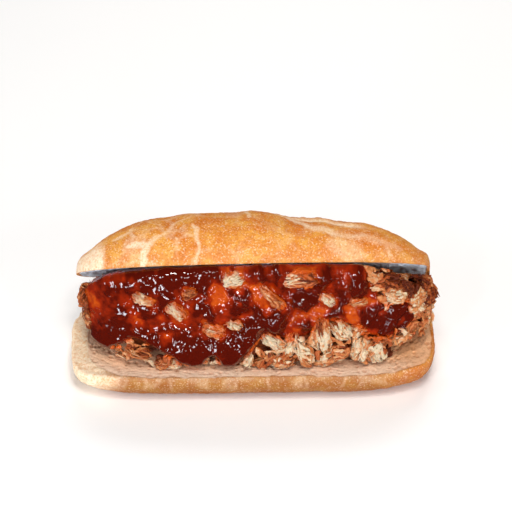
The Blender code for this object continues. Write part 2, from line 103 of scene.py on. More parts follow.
# The lid's crest: place along it, from -1 to 1, and share of the full height
LID_CREST = (
    (-1.00, 0.90), (-0.93, 0.76), (-0.85, 0.85), (-0.76, 0.95), (-0.67, 1.03), (-0.57, 1.05),
    (-0.47, 1.02), (-0.38, 1.05), (-0.20, 1.035), (-0.10, 1.04), (0.02, 1.085), (0.10, 1.03),
    (0.20, 0.93), (0.30, 0.90), (0.38, 0.915), (0.46, 0.875), (0.54, 0.90), (0.62, 0.955),
    (0.72, 0.955), (0.80, 0.91), (0.87, 0.83), (0.94, 0.75), (1.00, 0.95),
)

# The slashes in the lid's crust: x and across at their start and end
SLASHES = ((0.002, 0.064, 0.50, 0.28), (-0.080, -0.014, 0.82, 0.60))

# Pale seams and floury bands on the lid's front: x and across at start and end, width in metres, and share
PALE_SEAMS = (
    (-0.0642, 0.135, -0.0555, 0.115, 0.0034, 1.0),
    (-0.0560, 0.110, -0.0582, 0.000, 0.0030, 1.0),
    (-0.0555, 0.120, -0.0504, 0.170, 0.0020, 0.7),
    (-0.0504, 0.170, -0.0445, 0.220, 0.0016, 0.6),
    (-0.0445, 0.220, -0.0395, 0.300, 0.0014, 0.6),
    (-0.0395, 0.300, -0.0280, 0.360, 0.0014, 0.5),
    (-0.0305, 0.230, -0.0305, 0.150, 0.0018, 0.8),
    (-0.0305, 0.150, -0.0296, 0.100, 0.0018, 0.8),
    (-0.0296, 0.100, -0.0305, 0.005, 0.0016, 0.7),
    (-0.0640, 0.290, -0.0642, 0.150, 0.0016, 0.6),
    (-0.0735, 0.240, -0.0640, 0.270, 0.0024, 0.6),
    (-0.0022, 0.420, -0.0008, 0.300, 0.0014, 0.8),
    (0.0064, 0.500, 0.0211, 0.380, 0.0024, 1.0),
    (0.0211, 0.380, 0.0315, 0.260, 0.0034, 0.9),
    (0.0315, 0.260, 0.0430, 0.195, 0.0040, 0.8),
    (0.0430, 0.195, 0.0580, 0.170, 0.0042, 0.6),
    (0.0580, 0.170, 0.0790, 0.110, 0.0040, 0.35),
    (0.0450, 0.100, 0.0540, 0.040, 0.0090, 0.4),
    (0.0710, 0.150, 0.0745, 0.040, 0.0022, 0.4),
)

# Pieces that stand out of the sauce: x, z on the heap's front, turn, length, width, and the tone of each end,
# from 0 for pale lean meat to 1 for dark outer meat
PROUD_PIECES = (
    (-0.0103, 0.0714, 10, 0.011, 0.008, 0.02, 0.08),
    (0.0256, 0.0716, 4, 0.021, 0.009, 0.00, 0.85),
    (0.0108, 0.0608, -46, 0.019, 0.005, 0.30, 0.50),
    (-0.0579, 0.0600, -20, 0.012, 0.006, 0.15, 0.40),
    (-0.0337, 0.0639, 30, 0.009, 0.005, 0.60, 0.70),
    (-0.0413, 0.0538, -35, 0.012, 0.007, 0.00, 0.10),
    (-0.0214, 0.0430, -25, 0.013, 0.007, 0.25, 0.30),
    (-0.0098, 0.0459, -15, 0.008, 0.005, 0.15, 0.25),
    (0.0402, 0.0596, -35, 0.009, 0.005, 0.05, 0.10),
    (0.0565, 0.0577, 10, 0.009, 0.005, 0.30, 0.40),
    (0.0370, 0.0405, -83, 0.024, 0.009, 0.75, 0.05),
    (0.0476, 0.0415, -45, 0.015, 0.008, 0.25, 0.10),
    (0.0577, 0.0300, 80, 0.015, 0.009, 0.00, 0.15),
    (0.0665, 0.0282, -72, 0.017, 0.009, 0.15, 0.00),
    (0.0277, 0.0287, -62, 0.017, 0.008, 0.10, 0.45),
    (0.0158, 0.0243, 20, 0.013, 0.009, 0.25, 0.50),
    (0.0114, 0.0352, -40, 0.016, 0.006, 0.05, 0.15),
    (0.0473, 0.0291, 25, 0.011, 0.008, 0.50, 0.55),
    (-0.0028, 0.0256, 70, 0.009, 0.005, 0.00, 0.05),
    # This piece's darker tone is painted shade: it lies low on the left, in shade
    (-0.0619, 0.0282, -12, 0.014, 0.006, 0.50, 0.60),
    (-0.0471, 0.0230, 5, 0.012, 0.005, 0.60, 0.30),
)

# Looser pieces at both ends of the heap, which the solids leave out, in the same form
END_PIECES = (
    (0.0760, 0.0578, -10, 0.014, 0.008, 0.00, 0.40),
    (0.0880, 0.0560, 12, 0.013, 0.009, 0.34, 0.46),
    (0.0815, 0.0684, 15, 0.008, 0.005, 0.15, 0.22),
    # This piece's dark tone is painted shade under the lid's right end
    (0.0734, 0.0690, 50, 0.011, 0.007, 0.55, 0.40),
    (0.0940, 0.0578, 80, 0.011, 0.008, 0.80, 0.75),
    (0.0875, 0.0500, -20, 0.012, 0.007, 0.28, 0.18),
    (0.0935, 0.0650, -50, 0.009, 0.007, 0.62, 0.55),
    (-0.0890, 0.0668, 80, 0.009, 0.006, 0.50, 0.60),
    (-0.0895, 0.0598, 95, 0.009, 0.006, 0.62, 0.70),
    (-0.0420, 0.0232, 30, 0.009, 0.004, 0.05, 0.15),
    (0.0735, 0.0215, 0, 0.004, 0.003, 0.95, 0.95),
)

# Lower edge of the sauce with its hanging lobes, and its upper edge: x, z along the heap's front
SAUCE_HEM = (
    (-0.0900, 0.0440), (-0.0868, 0.0300), (-0.0830, 0.0258), (-0.0775, 0.0256), (-0.0720, 0.0300),
    (-0.0650, 0.0362), (-0.0600, 0.0350), (-0.0511, 0.0300),
    (-0.0440, 0.0268), (-0.0402, 0.0234), (-0.0355, 0.0214), (-0.0303, 0.0211), (-0.0264, 0.0228),
    (-0.0246, 0.0265), (-0.0210, 0.0272), (-0.0192, 0.0234), (-0.0158, 0.0209), (-0.0108, 0.0206),
    (-0.0072, 0.0222), (-0.0052, 0.0258), (-0.0020, 0.0305), (0.0008, 0.0350), (0.0090, 0.0397),
    (0.0208, 0.0362), (0.0316, 0.0397), (0.0346, 0.0476), (0.0434, 0.0476), (0.0542, 0.0432),
    (0.0601, 0.0378), (0.0690, 0.0350), (0.0798, 0.0350), (0.0887, 0.0415),
)
# Where the sauce is thinned out over the meat (1) or gathers (-1): x, z, radius along x and along z, share
SAUCE_DEPTHS = (
    (-0.0850, 0.0515, 0.0060, 0.0070, 0.9),
    (-0.0770, 0.0680, 0.0070, 0.0040, 0.8),
    (-0.0500, 0.0480, 0.0060, 0.0040, 0.7),
    (-0.0330, 0.0555, 0.0040, 0.0060, 0.8),
    (-0.0180, 0.0600, 0.0075, 0.0035, 0.5),
    (-0.0180, 0.0300, 0.0055, 0.0040, 1.0),
    (-0.0300, 0.0310, 0.0040, 0.0040, 0.6),
    (0.0030, 0.0610, 0.0060, 0.0060, 0.6),
    (0.0360, 0.0500, 0.0040, 0.0060, 0.8),
    (0.0540, 0.0490, 0.0090, 0.0045, 0.9),
    (0.0690, 0.0565, 0.0040, 0.0050, 0.5),
    # This gather under the lid's edge is thick sauce and painted shade: its deep colour also stands for the
    # lid's shadow
    (-0.0420, 0.0715, 0.0300, 0.0085, -0.9),
    (-0.0090, 0.0450, 0.0060, 0.0140, -0.8),
    (0.0760, 0.0440, 0.0160, 0.0120, -1.8),
    (-0.0740, 0.0400, 0.0070, 0.0090, -0.5),
    (0.0150, 0.0420, 0.0150, 0.0060, -0.7),
    (0.0300, 0.0600, 0.0160, 0.0050, -0.6),
    (0.0560, 0.0620, 0.0080, 0.0060, -0.5),
)

# Places on the heap's front that lose their torn pieces: where a pool of sauce fills the heap (covered
# pieces) and where a hollow shows the dark core, whose colour is painted shade (every piece): x, z, radius
# along x and along z
POOL = (0.0760, 0.0440, 0.0170, 0.0125)
HOLLOW = (0.0850, 0.0650, 0.0120, 0.0060)

SAUCE_TOP = (
    (0.0857, 0.0538), (0.0759, 0.0538), (0.0690, 0.0574), (0.0641, 0.0679), (0.0582, 0.0785),
    (-0.0284, 0.0785), (-0.0835, 0.0750), (-0.0899, 0.0574),
)


def linear(code):
    """An sRGB hex colour as linear red, green and blue: the standard curve, value by value."""
    values = np.array([int(code[i : i + 2], 16) / 255 for i in (1, 3, 5)])
    return tuple(np.where(values <= 0.04045, values / 12.92, ((values + 0.055) / 1.055) ** 2.4))


def colour_prop(name, description, code):
    """A colour that a user can change, with its default from a hex code."""
    return bpy.props.FloatVectorProperty(
        name=name, description=description, subtype="COLOR", size=3, min=0.0, max=1.0, default=linear(code)
    )


def size_prop(name, description, default, low, high):
    """A length in metres that a user can change."""
    return bpy.props.FloatProperty(
        name=name, description=description, subtype="DISTANCE", unit="LENGTH", precision=5,
        default=default, min=low, max=high,
    )


class BreadSettings(bpy.types.PropertyGroup):
    """Sizes and colours of the roll."""

    gold: colour_prop("Gold", "Crust where it baked lightly", "#E09B44")
    orange: colour_prop("Orange", "Crust where it baked well", "#D17828")
    brown: colour_prop("Brown", "Crust where it baked most", "#A9561B")
    pale: colour_prop("Pale", "Crust that stayed floury", "#F7DFC0")
    straw: colour_prop("Straw", "Crust of the lower half's front", "#A06A2B")
    toast: colour_prop("Toast", "Browner crust of the lower half's front", "#945822")
    cream: colour_prop("Cream", "Crumb", "#F5D5BA")
    # Peach is crumb that took up juice, made lighter as painted light where the heap and the lid shade the
    # crumb
    peach: colour_prop("Peach", "Crumb that took up juice", "#FFC08A")
    # Painted cool light: a blue-grey tint for the lid's cut face that stands for the cool light on that
    # shaded crumb
    cool: colour_prop("Cool", "Crumb of the lid's underside", "#D6E2EE")
    thickness: size_prop("Crust", "Thickness of the crust at the cut", 0.0018, 0.0005, 0.004)
    pore: size_prop("Pores", "Size of the crumb's larger pores", 0.0026, 0.0008, 0.006)
    blister: size_prop("Blisters", "Height of the crust's blisters", 0.00022, 0.0, 0.001)


class PorkSettings(bpy.types.PropertyGroup):
    """Sizes and colours of the pulled pork."""

    lean: colour_prop("Lean", "Pale inner meat", "#CFB899")
    peach: colour_prop("Peach", "Meat with some juice on it", "#C37F4C")
    roast: colour_prop("Roast", "Meat that took up spice and juice", "#A54E20")
    bark: colour_prop("Bark", "Dark outer meat", "#581F0A")
    fibre: size_prop("Fibre", "Thickness of a loose fibre", 0.0006, 0.0002, 0.002)
    fray: size_prop("Fray", "How far loose fibres stand out of a torn end", 0.0022, 0.0, 0.006)
    shreds: bpy.props.IntProperty(
        name="Shreds", description="Number of loose shreds and bits on the heap", default=620, min=0, max=1200
    )


class SauceSettings(bpy.types.PropertyGroup):
    """Thickness and colours of the sauce."""

    thin: colour_prop("Thin", "Sauce in a film over meat", "#C04E0E")
    middle: colour_prop("Middle", "Sauce of middle depth", "#902204")
    deep: colour_prop("Deep", "Sauce in a thick lobe", "#4C0900")
    thickness: size_prop("Thickness", "Depth of the sauce over the meat", 0.0021, 0.0005, 0.005)
    grain: size_prop("Grain", "Height of the bubbles and spice under its skin", 0.00011, 0.0, 0.0005)


class StageSettings(bpy.types.PropertyGroup):
    """Floor, lights and camera."""

    floor: colour_prop("Floor", "Pale floor", "#FFFFFF")
    key: bpy.props.FloatProperty(
        name="Key light", description="Power of the large soft light", default=5.2, min=0.0, max=200.0
    )
    windows: bpy.props.FloatProperty(
        name="Windows", description="Power of the small lights that show as glints", default=1.35,
        min=0.0, max=50.0,
    )


def smoothstep(low, high, values):
    """0 below low, 1 above high, and the cubic 3t^2 - 2t^3 between."""
    t = np.clip((values - low) / (high - low), 0, 1)
    return t * t * (3 - 2 * t)


def value_noise(points, size, seed):
    """Smooth noise between -1 and 1: random values at the corners of cubes, blended by t^2(3 - 2t)."""
    table = np.random.RandomState(seed).uniform(-1, 1, (32, 32, 32))
    scaled = np.asarray(points) / size + 17.3
    base = np.floor(scaled).astype(int)
    part = scaled - base
    part = part * part * (3 - 2 * part)
    total = np.zeros(scaled.shape[:-1])
    for corner in np.ndindex(2, 2, 2):
        index = (base + corner) % 32
        weight = np.prod(np.where(corner, part, 1 - part), axis=-1)
        total += weight * table[index[..., 0], index[..., 1], index[..., 2]]
    return total


def layered_noise(points, size, seed, layers=3):
    """Noise of the size with finer noise on top, each layer half as large and 0.55 as strong."""
    total, strength = 0.0, 1.0
    for layer in range(layers):
        total = total + strength * value_noise(points, size / 2**layer, seed + layer)
        strength *= 0.55
    return total


def cell_distances(points, size, seed):
    """Distances to the nearest and second nearest random centre, one centre in each cube of the size, as
    shares of the size, and a random number that belongs to the nearest centre."""
    table = np.random.RandomState(seed).rand(32, 32, 32, 4)
    scaled = np.asarray(points) / size + 9.7
    base = np.floor(scaled).astype(int)
    part = scaled - base
    first = np.full(scaled.shape[:-1], 9.0)
    second, mark = first.copy(), np.zeros_like(first)
    for step in np.ndindex(3, 3, 3):
        index = (base + step - 1) % 32
        value = table[index[..., 0], index[..., 1], index[..., 2]]
        distance = np.linalg.norm(np.array(step) - 1 + value[..., :3] - part, axis=-1)
        second = np.minimum(second, np.maximum(first, distance))
        mark = np.where(distance < first, value[..., 3], mark)
        first = np.minimum(first, distance)
    return first, second, mark


def spread_evenly(values, lengths, count):
    """Values picked so that the given running lengths between them are equal."""
    travelled = np.concatenate([[0], np.cumsum(lengths)])
    return np.interp(np.linspace(0, travelled[-1], count), travelled, values)


def ring_faces(rings, around, start=0):
    """Quads between rings of points that close round on themselves."""
    k, i = np.meshgrid(np.arange(rings - 1), np.arange(around), indexing="ij")
    j = (i + 1) % around
    quads = np.stack([k * around + i, k * around + j, (k + 1) * around + j, (k + 1) * around + i], axis=-1)
    return quads.reshape(-1, 4) + start


def closed_skin(rings, first_tip, last_tip):
    """Points, quads and triangles of rings closed at both ends on a tip. Normals point outwards when the
    rings turn anticlockwise seen from the last tip."""
    count, around = rings.shape[:2]
    points = np.concatenate([rings.reshape(-1, 3), [first_tip], [last_tip]])
    i = np.arange(around)
    j = (i + 1) % around
    first = np.stack([np.full(around, count * around), j, i], axis=-1)
    end_ring = (count - 1) * around
    last = np.stack([np.full(around, count * around + 1), end_ring + i, end_ring + j], axis=-1)
    return points, ring_faces(count, around), np.concatenate([first, last])


def many_skins(rings, first_tips, last_tips):
    """The same for many bodies at once: rings are body, ring, place round it and coordinate."""
    bodies, count, around = rings.shape[:3]
    size = count * around + 2
    points = np.concatenate([rings.reshape(bodies, -1, 3), first_tips[:, None], last_tips[:, None]], axis=1)
    one = closed_skin(np.zeros((count, around, 3)), (0, 0, 0), (0, 0, 0))
    offset = np.arange(bodies)[:, None, None] * size
    quads = (one[1][None] + offset).reshape(-1, 4)
    triangles = (one[2][None] + offset).reshape(-1, 3)
    return points.reshape(-1, 3), quads, triangles


def build_mesh(name, points, quads, triangles, material, attributes=None):
    """One object from arrays. Attributes are given by name, one number or one vector for each point."""
    mesh = bpy.data.meshes.new(name)
    mesh.vertices.add(len(points))
    mesh.vertices.foreach_set("co", np.ascontiguousarray(points, np.float32).ravel())
    corners = np.concatenate([quads.ravel(), triangles.ravel()]).astype(np.int32)
    sizes = np.concatenate([np.full(len(quads), 4), np.full(len(triangles), 3)]).astype(np.int32)
    mesh.loops.add(len(corners))
    mesh.loops.foreach_set("vertex_index", corners)
    mesh.polygons.add(len(sizes))
    mesh.polygons.foreach_set("loop_start", np.concatenate([[0], np.cumsum(sizes)[:-1]]).astype(np.int32))
    mesh.polygons.foreach_set("loop_total", sizes)
    mesh.update(calc_edges=True)
    mesh.validate()
    mesh.shade_smooth()
    for key, values in (attributes or {}).items():
        values = np.asarray(values, np.float32)
        vector = values.ndim == 2
        layer = mesh.attributes.new(key, "FLOAT_VECTOR" if vector else "FLOAT", "POINT")
        layer.data.foreach_set("vector" if vector else "value", values.ravel())
    mesh.materials.append(material)
    made = bpy.data.objects.new(name, mesh)
    bpy.context.scene.collection.objects.link(made)
    return made


def finish_piece(made, slot, *nodes):
    """Rides the piece on the sandwich's one body and hides the solids it stands for."""
    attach(made, "root")
    if nodes:
        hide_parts(*nodes)
    return made


def apply_settings(tree, node, settings):
    """Gives a node its settings: an input's value, a socket to link to an input, or a property of its own."""
    for key, value in settings.items():
        if key == "stops":
            elements = node.color_ramp.elements
            while len(elements) < len(value):
                elements.new(0.5)
            for element, (place, colour) in zip(elements, value):
                element.position = place
                element.color = (*colour, 1.0)
        elif isinstance(value, bpy.types.NodeSocket):
            tree.links.new(value, node.inputs[key])
        elif isinstance(key, int) or key in node.inputs:
            socket = node.inputs[key]
            socket.default_value = (*value, 1.0) if socket.type == "RGBA" else value
        else:
            setattr(node, key, value)


def add_node(tree, kind, output, settings=()):
    """Adds a node with its settings and links, and returns one of its outputs."""
    node = tree.nodes.new(kind)
    apply_settings(tree, node, dict(settings))
    return node.outputs[output]


def new_material(name):
    """An empty node material, with its tree and Principled shader."""
    material = bpy.data.materials.new(name)
    material.use_nodes = True
    return material, material.node_tree, material.node_tree.nodes["Principled BSDF"]


# Bread


def superellipse(turn, half_length, half_width, power):
    """x and y on an outline that is an ellipse at power 2 and nears a rectangle as the power grows."""
    c, s = np.cos(turn), np.sin(turn)
    x, y = (np.sign(share) * np.abs(share) ** (2 / power) for share in (c, s))
    return half_length * x, half_width * y


def base_outline(turn, inset):
    """The lower half's outline at an inset: a superellipse, blunter at the front, and slightly uneven."""
    power = 4.0 - 1.4 * np.sin(turn) + 0.4 * np.cos(turn)
    x, y = superellipse(turn, ROLL_LENGTH / 2 - inset, ROLL_WIDTH / 2 - inset, power)
    shape = 1 + 0.010 * np.sin(2 * turn + 0.6) + 0.007 * np.sin(5 * turn + 2.1) + 0.004 * np.sin(9 * turn)
    return x * shape, y * shape


def crumb_relief(points, pore, seed):
    """Depth of the open pores in cut bread, and how far into a pore each point is.

    Each pore is a rounded bowl about a random centre of a lattice, with a random radius. Two sizes are laid
    over each other, with low noise between them."""
    depth = np.zeros(points.shape[:-1])
    for size, share in ((pore, 0.30), (pore * 0.45, 0.24)):
        first, _, mark = cell_distances(points, size, seed)
        radius = 0.18 + 0.42 * mark**2
        bowl = np.sqrt(np.clip(1 - (first / radius) ** 2, 0, 1))
        depth = np.maximum(depth, bowl * radius * size * share * 2.2)
        seed += 7
    pore_share = np.clip(depth / (pore * 0.20), 0, 1)
    return depth + 0.00018 * layered_noise(points, 0.0022, seed), pore_share


def crust_relief(points, blister, seed):
    """Height of a baked crust's own skin: low domes on some cells of a lattice, over fine wrinkles."""
    first, _, mark = cell_distances(points, 0.0031, seed)
    domes = np.sqrt(np.clip(1 - (first / 0.62) ** 2, 0, 1)) * (mark > 0.45)
    wrinkles = 0.00016 * layered_noise(points, 0.0042, seed + 3)
    return blister * domes + wrinkles + 0.0003 * value_noise(points, 0.012, seed)


def crust_patches(points, size, seed):
    """1 on the pale seams between the darker islands of a crust that split as it baked, and 0 inside them."""
    warps = np.stack([value_noise(points, size * 0.7, seed + k) for k in (1, 2, 3)], axis=-1)
    first, second, _ = cell_distances(points + 0.3 * size * warps, size, seed)
    return 1 - smoothstep(0.02, 0.16, second - first)


def build_base_bread():
    """The lower half: rings of the outline go up the crust, over the rim and in across the cut face.

    The side is a quarter ellipse in inset and height, the rim a small quarter round, and the cut face a
    shallow dish. Crust relief moves points along the profile's normal, and crumb pores move them down."""
    look = bpy.context.scene.sandwich_bread
    fine = np.linspace(0, 2 * math.pi, 6001)
    x, y = base_outline(fine, 0.0)
    turn = spread_evenly(fine, np.hypot(np.diff(x), np.diff(y)), 641)[:-1]
    side = np.linspace(0, math.pi / 2, 56)
    rim = np.linspace(0, math.pi / 2, 12)[1:]
    flat = np.linspace(0, 1, 62)[1:]
    inset = np.concatenate(
        [BASE_FLAT_INSET * (1 - np.sin(side)), RIM_WIDTH * (1 - np.cos(rim)), RIM_WIDTH + CRUMB_WIDTH * flat]
    )
    height = np.concatenate(
        [
            BASE_WIDEST * (1 - np.cos(side)),
            BASE_WIDEST + (BASE_HEIGHT - BASE_WIDEST) * np.sin(rim),
            BASE_HEIGHT - CRUMB_DISH * smoothstep(0, 0.45, flat),
        ]
    )
    slope = np.arctan2(np.gradient(height), -np.gradient(inset))
    turns = np.broadcast_to(turn, (len(inset), len(turn)))
    x, y = base_outline(turns, inset[:, None])
    rings = np.stack([x, y, np.broadcast_to(height[:, None], x.shape)], axis=-1)
    out_x, out_y = base_outline(turns, (inset - 0.001)[:, None])
    level = np.stack([out_x - x, out_y - y], axis=-1)
    level /= np.linalg.norm(level, axis=-1, keepdims=True)
    upright = np.broadcast_to(-np.cos(slope)[:, None, None], (*x.shape, 1))
    normal = np.concatenate([level * np.sin(slope)[:, None, None], upright], axis=-1)
    # The crust's edge on the cut face, which wraps over the left front corner
    corner = np.exp(-(((rings[..., 0] + 0.091) / 0.013) ** 2)) * (rings[..., 1] < 0.02)
    edge = look.thickness * (0.9 + 0.45 * layered_noise(rings, 0.006, 5)) + 0.0075 * corner
    past_rim = (np.arange(len(inset)) > len(side) + 4)[:, None]
    crumb = smoothstep(-0.0004, 0.0005, inset[:, None] - edge) * past_rim
    pores, pore_share = crumb_relief(rings, look.pore, 11)
    # No pores on the innermost rings, which the skin closes from to its middle under the meat
    open_crumb = smoothstep(0.0262, 0.0215, inset)[:, None]
    pores, pore_share = pores * open_crumb, pore_share * open_crumb
    lift = (1 - crumb) * crust_relief(rings, look.blister, 21) * smoothstep(0, 0.003, height)[:, None]
    lift -= crumb * (pores + 0.0004 * (1 - 0.8 * np.clip(corner, 0, 1)))
    rings = rings + normal * lift[..., None]
    rings[..., 2] -= 0.0022 * corner * smoothstep(0.009, 0.001, inset)[:, None] * (height > 0.012)[:, None]
    rings[..., 2] = np.maximum(rings[..., 2], 0)
    points, quads, triangles = closed_skin(rings, (0, 0, 0), (0, 0, BASE_HEIGHT - CRUMB_DISH - 0.0004))
    tall = np.clip(rings[..., 2] / BASE_HEIGHT, 0, 1)
    right = smoothstep(0.062, 0.098, rings[..., 0])
    left = smoothstep(-0.066, -0.096, rings[..., 0] + 0.005 * value_noise(rings, 0.009, 25))
    streaks = layered_noise(rings * (0.25, 0.25, 1.6), 0.0030, 35)
    # The crust turns brown towards the bottom: painted shade where it turns under towards the floor
    brown = 0.95 * smoothstep(0.50, 0.10, tall + 0.16 * streaks) * (1 - 0.5 * left)
    brown = brown + 1.3 * right * smoothstep(1.15, 0.70, tall)
    cracks = crust_patches(rings * (1, 1, 0.35), 0.015, 33) * smoothstep(0.35, 0.75, tall) * (1 - 0.7 * right)
    pale = 1.25 * left + 0.10 * smoothstep(0.75, 1.0, tall) * (1 - right) + 0.20 * cracks
    # At the right end the crumb is peach: its own soaked colour, lightened as painted light against the shade
    # of the heap and lid
    juice = 0.55 * smoothstep(0.004, 0.016, inset)[:, None] * np.ones_like(crumb) + 0.8 * right
    attributes = {
        "crumb": crumb, "pale": np.clip(pale, 0, 1), "brown": np.clip(brown, 0, 1),
        "pore": pore_share * crumb, "juice": np.clip(juice, 0, 1),
        "straw": 0.9 * (1 - left) * (1 - right), "cool": 0 * crumb,
    }
    ends = {
        "crumb": (0, 1), "pale": (0, 0), "brown": (1, 0), "pore": (0, 0), "juice": (0, 1), "straw": (1, 0),
        "cool": (0, 0),
    }
    attributes = {key: np.concatenate([values.ravel(), ends[key]]) for key, values in attributes.items()}
    made = build_mesh("base_bread", points, quads, triangles, bread_material(), attributes)
    return finish_piece(made, "baked_crust", "roll_base")


def lid_share(along, power_left, fade_left, power_right, fade_right):
    """Share of the full size at a place along the lid, which is -1 at its left tip and 1 at its right."""
    left = (1 - np.clip(-along, 0, 1) ** power_left) ** fade_left
    return left * (1 - np.clip(along, 0, 1) ** power_right) ** fade_right


def lid_crest(along):
    """Share of the full height along the crest: a cubic through the crest's points."""
    places, shares = np.array(LID_CREST).T
    slopes = np.gradient(shares, places)
    i = np.clip(np.searchsorted(places, along) - 1, 0, len(places) - 2)
    run = places[i + 1] - places[i]
    t = (along - places[i]) / run
    ends = (2 * t**3 - 3 * t**2 + 1) * shares[i] + (3 * t**2 - 2 * t**3) * shares[i + 1]
    return ends + run * ((t**3 - 2 * t**2 + t) * slopes[i] + (t**3 - t**2) * slopes[i + 1])


def lid_lift(x):
    """Height of the lid's cut face over the flat plane through its back edge."""
    share = (x - LID_MIDDLE) / (LID_LENGTH / 2)
    return LID_RISE * share - LID_SAG * share**2


def lid_droop(x):
    """How far the back of the lid's cut face hangs below its front, towards the right end."""
    share = (x - LID_MIDDLE) / (LID_LENGTH / 2)
    return LID_DROOP * np.clip(share * 2.4 - 0.9, 0, 1) ** 2


def score_shares(x, across):
    """Height of the slashes in the crust, and how far each point is in the pale band that opened along one
    and in the brown flap behind it.

    Along a slash stands a ragged ear with a shallow groove in front of it, both bell curves of the
    distance."""
    relief, band, flap = np.zeros_like(x), np.zeros_like(x), np.zeros_like(x)
    ragged = np.stack([x, 0 * x, 0 * x], axis=-1)
    for x_start, x_end, across_start, across_end in SLASHES:
        share = (x - x_start) / (x_end - x_start)
        inside = np.clip(np.minimum(share, 1 - share) * 6, 0, 1)
        offset = across - (across_start + (across_end - across_start) * share)
        offset = offset + 0.010 * layered_noise(ragged, 0.006, 61)
        height = 0.0012 * (1 + 0.5 * layered_noise(ragged, 0.008, 67))
        ear = height * np.exp(-(((offset - 0.045) / 0.034) ** 2))
        groove = 0.0010 * np.exp(-(((offset + 0.012) / 0.020) ** 2))
        relief += inside * (ear - groove)
        band = np.maximum(band, inside * np.exp(-(((offset + 0.010) / 0.030) ** 2)))
        flap = np.maximum(flap, inside * smoothstep(0.01, 0.03, offset) * smoothstep(0.12, 0.05, offset))
    return relief, band, flap


def near_strokes(x, across, strokes, seed):
    """1 on any of the strokes and 0 away from them, by the distance in metres on the lid's unrolled crust."""
    places = np.stack([x, across * LID_GIRTH], axis=-1)
    wobble = np.concatenate([places, 0 * places[..., :1]], axis=-1)
    places = places + 0.0016 * np.stack([layered_noise(wobble, 0.007, seed + k) for k in (0, 5)], axis=-1)
    share = np.zeros_like(x)
    for x_start, across_start, x_end, across_end, width, strength in strokes:
        start = np.array((x_start, across_start * LID_GIRTH))
        run = np.array((x_end, across_end * LID_GIRTH)) - start
        t = np.clip(((places - start) @ run) / (run @ run), 0, 1)
        distance = np.linalg.norm(places - start - t[..., None] * run, axis=-1)
        share = np.maximum(share, 0.85 * strength * smoothstep(width, width * 0.30, distance))
    return share


